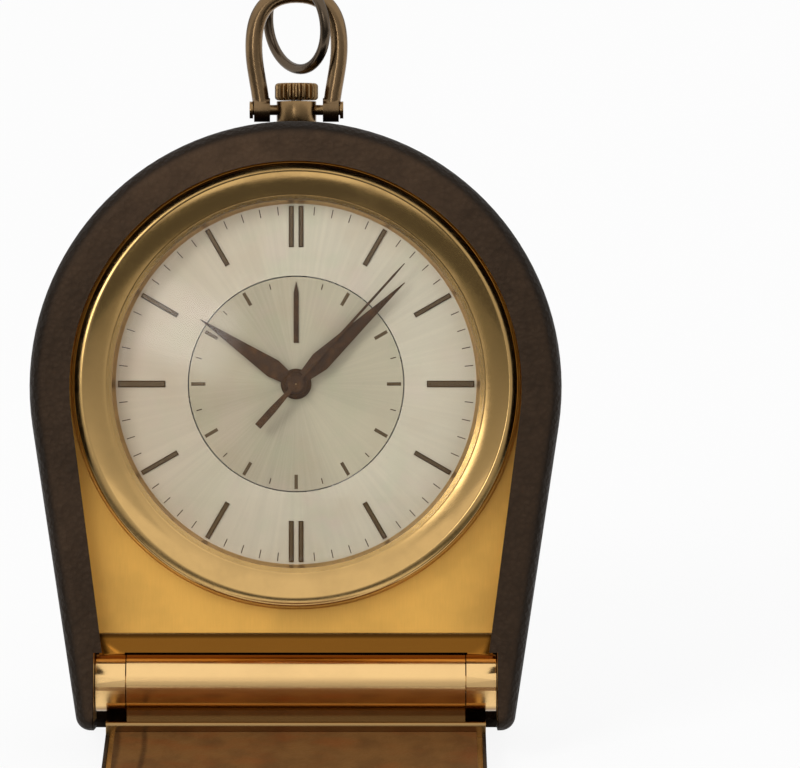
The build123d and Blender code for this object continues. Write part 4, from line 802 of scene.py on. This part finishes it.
def place_camera():
    """A camera that looks straight at the dial's plane, from a little to its right."""
    far = size("view_far")
    view = bpy.data.cameras.new("camera")
    view.sensor_width = 36.0
    view.lens = view.sensor_width * far / size("view_wide")
    view.clip_start, view.clip_end = 0.01, 50.0
    camera = bpy.data.objects.new("camera", view)
    bpy.context.scene.collection.objects.link(camera)
    turn = FACE.copy()
    turn.translation = FACE @ (Vector((size("view_side"), 0, far)) * MM)
    camera.matrix_world = turn
    bpy.context.scene.camera = camera


# One operator for each piece or group of like pieces, and one for the stage


class CLOCK_OT_inside(bpy.types.Operator):
    """Gives every inner part of the movement and the case its metal"""

    bl_idname = "clock.inside"
    bl_label = "Movement and inner parts"

    def execute(self, context):
        for node, part in frame["nodes"].items():
            part.data.materials.clear()
            part.data.materials.append(MATERIALS[SLOT_OF[node]])
        return {"FINISHED"}


class CLOCK_OT_case(bpy.types.Operator):
    """Covers the case with its leather and fits the gilt front plate"""

    bl_idname = "clock.case"
    bl_label = "Case and front plate"

    def execute(self, context):
        refined("leather_wrap", angle=40)
        refined("front_plate", edge=size("edge"))
        return {"FINISHED"}


class CLOCK_OT_bezel(bpy.types.Operator):
    """Turns the polished bezel, with its brow, its crest and its hollow inner slope"""

    bl_idname = "clock.bezel"
    bl_label = "Bezel"

    def execute(self, context):
        outer, top, turn = size("bezel_r"), size("bezel_crest"), size("bezel_round")
        seat_r, lip_r = size("glass_r") + 0.25, size("glass_r") - 0.1
        bore_r, skirt_in, skirt_out = 16.1, 17.6, 18.8
        lip_low, lip_top = 2.55, 2.65
        shelf, neck, rim_low, foot = 1.7, 0.9, 1.0, 0.2
        brow_drop, brow_swell, slope_dip = 0.11, 0.016, 0.08
        ease = turn * (1 - math.sqrt(0.5))
        crest, lip = (outer - size("bezel_brow"), top), (lip_r, lip_top)
        brow = (outer - turn, top - brow_drop)
        swell = ((crest[0] + brow[0]) / 2, (crest[1] + brow[1]) / 2 + brow_swell)
        dip = ((crest[0] + lip[0]) / 2, (crest[1] + lip[1]) / 2 - slope_dip)
        outside = arc((outer, brow[1] - turn), (outer - ease, brow[1] - ease), brow, 8)
        outside += arc(brow, swell, crest, 8)[1:]
        slope = arc(crest, dip, lip, 16)[1:]
        inside = [
            (lip_r, lip_low), (seat_r, lip_low), (seat_r, shelf), (bore_r, shelf), (bore_r, neck),
            (skirt_in, neck), (skirt_in, foot), (skirt_out, foot), (skirt_out, rim_low), (outer, rim_low),
        ]
        bezel = placed(lathed("polished_bezel", outside + slope + inside + outside[:1], 240))
        eased(bezel, 0.02, 50)
        smoothed(bezel, 30)
        given(bezel, "gilt_polished", "case", "bezel")
        return {"FINISHED"}


class CLOCK_OT_crystal(bpy.types.Operator):
    """Smooths the domed crystal and the ring it looks down on"""

    bl_idname = "clock.crystal"
    bl_label = "Crystal and dial ring"

    def execute(self, context):
        for node in ("crystal", "rehaut_ring"):
            refined(node, angle=30)
        return {"FINISHED"}


class CLOCK_OT_dial(bpy.types.Operator):
    """Finishes the dial, its alarm disc, the hour batons and the fine tracks"""

    bl_idname = "clock.dial"
    bl_label = "Dial"

    def execute(self, context):
        refined("dial", angle=30)
        refined("alarm_disc", edge=0.03, angle=30)
        refined("hour_markers", angle=20)
        refined("alarm_pointer", edge=0.02, angle=20)
        reach, disc = size("marker_out"), size("disc_r")
        minutes = [turn * 6.0 for turn in range(60) if turn % 5]
        hours = [turn * 30.0 for turn in range(1, 12)]
        half_hours = [turn * 30.0 + 15.0 for turn in range(12)]
        track = tick(reach - 0.75, reach, wide=0.08, low=0.0, high=0.02)
        given(marks_round("minute_track", track, minutes), "hand_dark", "case")
        hour = tick(disc - 1.45, disc - 0.2, wide=0.30, low=-0.03, high=0.0)
        given(marks_round("alarm_hours", hour, hours), "marker", "alarm_disc")
        half = tick(disc - 0.85, disc - 0.35, wide=0.09, low=-0.03, high=0.0)
        given(marks_round("alarm_halves", half, half_hours), "hand_dark", "alarm_disc")
        return {"FINISHED"}


class CLOCK_OT_hands(bpy.types.Operator):
    """Makes the hour and minute hands, each with its ridge and its boss, and finishes the seconds hand"""

    bl_idname = "clock.hands"
    bl_label = "Hands"

    def execute(self, context):
        hour = hand(
            "faceted_hour_hand", 304, long=10.1, wide=0.85, waist=0.24, root=0.40, boss=1.35, low=0.45)
        given(hour, "hand_dark", "hour_work", "hour_hand")
        minute = hand(
            "faceted_minute_hand", 47, long=13.0, wide=0.90, waist=0.22, root=0.35, boss=1.1, low=0.95)
        given(minute, "hand_dark", "minute_work", "minute_hand")
        refined("seconds_hand", edge=0.02, angle=20)
        return {"FINISHED"}


class CLOCK_OT_pendant(bpy.types.Operator):
    """Finishes the neck, the crown, the bow with its pins, and the ring in it"""

    bl_idname = "clock.pendant"
    bl_label = "Crown, bow and ring"

    def execute(self, context):
        for node, edge in (("pendant_neck", 0.06), ("crown", 0.03), ("bail_pins", 0.04)):
            refined(node, edge, 40, "worn_gilt")
        for node in ("bail", "ring"):
            refined(node, angle=40)
        return {"FINISHED"}


class CLOCK_OT_back(bpy.types.Operator):
    """Finishes the turned back cover and the key, knob and button on it"""

    bl_idname = "clock.back"
    bl_label = "Back"

    def execute(self, context):
        for node in ("back_cover", "alarm_key", "alarm_set_knob", "stop_button"):
            refined(node, edge=size("edge"), angle=30)
        return {"FINISHED"}


class CLOCK_OT_lid(bpy.types.Operator):
    """Finishes the hinge, the lid's pan, its leather and its lining"""

    bl_idname = "clock.lid"
    bl_label = "Hinge and lid"

    def execute(self, context):
        refined("case_hinge", angle=35, finish="hinge_gilt")
        refined("lid_hinge", edge=0.04, angle=35, finish="hinge_gilt")
        for node, edge in (("lid_frame", 0.04), ("lid_leather", 0.0), ("lid_lining", 0.12)):
            refined(node, edge, 35)
        return {"FINISHED"}


class CLOCK_OT_stage(bpy.types.Operator):
    """Sets the pale floor, the studio light and the camera"""

    bl_idname = "clock.stage"
    bl_label = "Stage"

    def execute(self, context):
        white_floor()
        white_world()
        for row in CARDS:
            card(*row)
        soft_card("card_streak", tilt=15.5, azimuth=154, far=0.55, wide=(0.125, 0.155), shade=4.5)
        for row in LAMPS:
            lamp(*row)
        place_camera()
        context.scene.view_settings.view_transform = "Standard"
        return {"FINISHED"}


OPERATORS = (
    CLOCK_OT_inside, CLOCK_OT_case, CLOCK_OT_bezel, CLOCK_OT_crystal, CLOCK_OT_dial, CLOCK_OT_hands,
    CLOCK_OT_pendant, CLOCK_OT_back, CLOCK_OT_lid, CLOCK_OT_stage,
)


class CLOCK_PT_panel(bpy.types.Panel):
    """Lists the clock's sizes, colours and steps"""

    bl_idname = "CLOCK_PT_panel"
    bl_label = "Travel clock"
    bl_space_type = "VIEW_3D"
    bl_region_type = "UI"
    bl_category = "Clock"

    def draw(self, context):
        for group in (context.scene.clock_sizes, context.scene.clock_colours):
            for key in group.__annotations__:
                self.layout.prop(group, key)
        for step in OPERATORS:
            self.layout.operator(step.bl_idname)


CLASSES = (ClockSizes, ClockColours, *OPERATORS, CLOCK_PT_panel)


def register():
    for kind in CLASSES:
        bpy.utils.register_class(kind)
    bpy.types.Scene.clock_sizes = bpy.props.PointerProperty(type=ClockSizes)
    bpy.types.Scene.clock_colours = bpy.props.PointerProperty(type=ClockColours)


def unregister():
    del bpy.types.Scene.clock_colours
    del bpy.types.Scene.clock_sizes
    for kind in reversed(CLASSES):
        bpy.utils.unregister_class(kind)


def main():
    register()
    MATERIALS.update(make_materials())
    for step in OPERATORS:
        getattr(bpy.ops.clock, step.bl_idname.split(".")[1])()


if __name__ == "__main__":
    main()
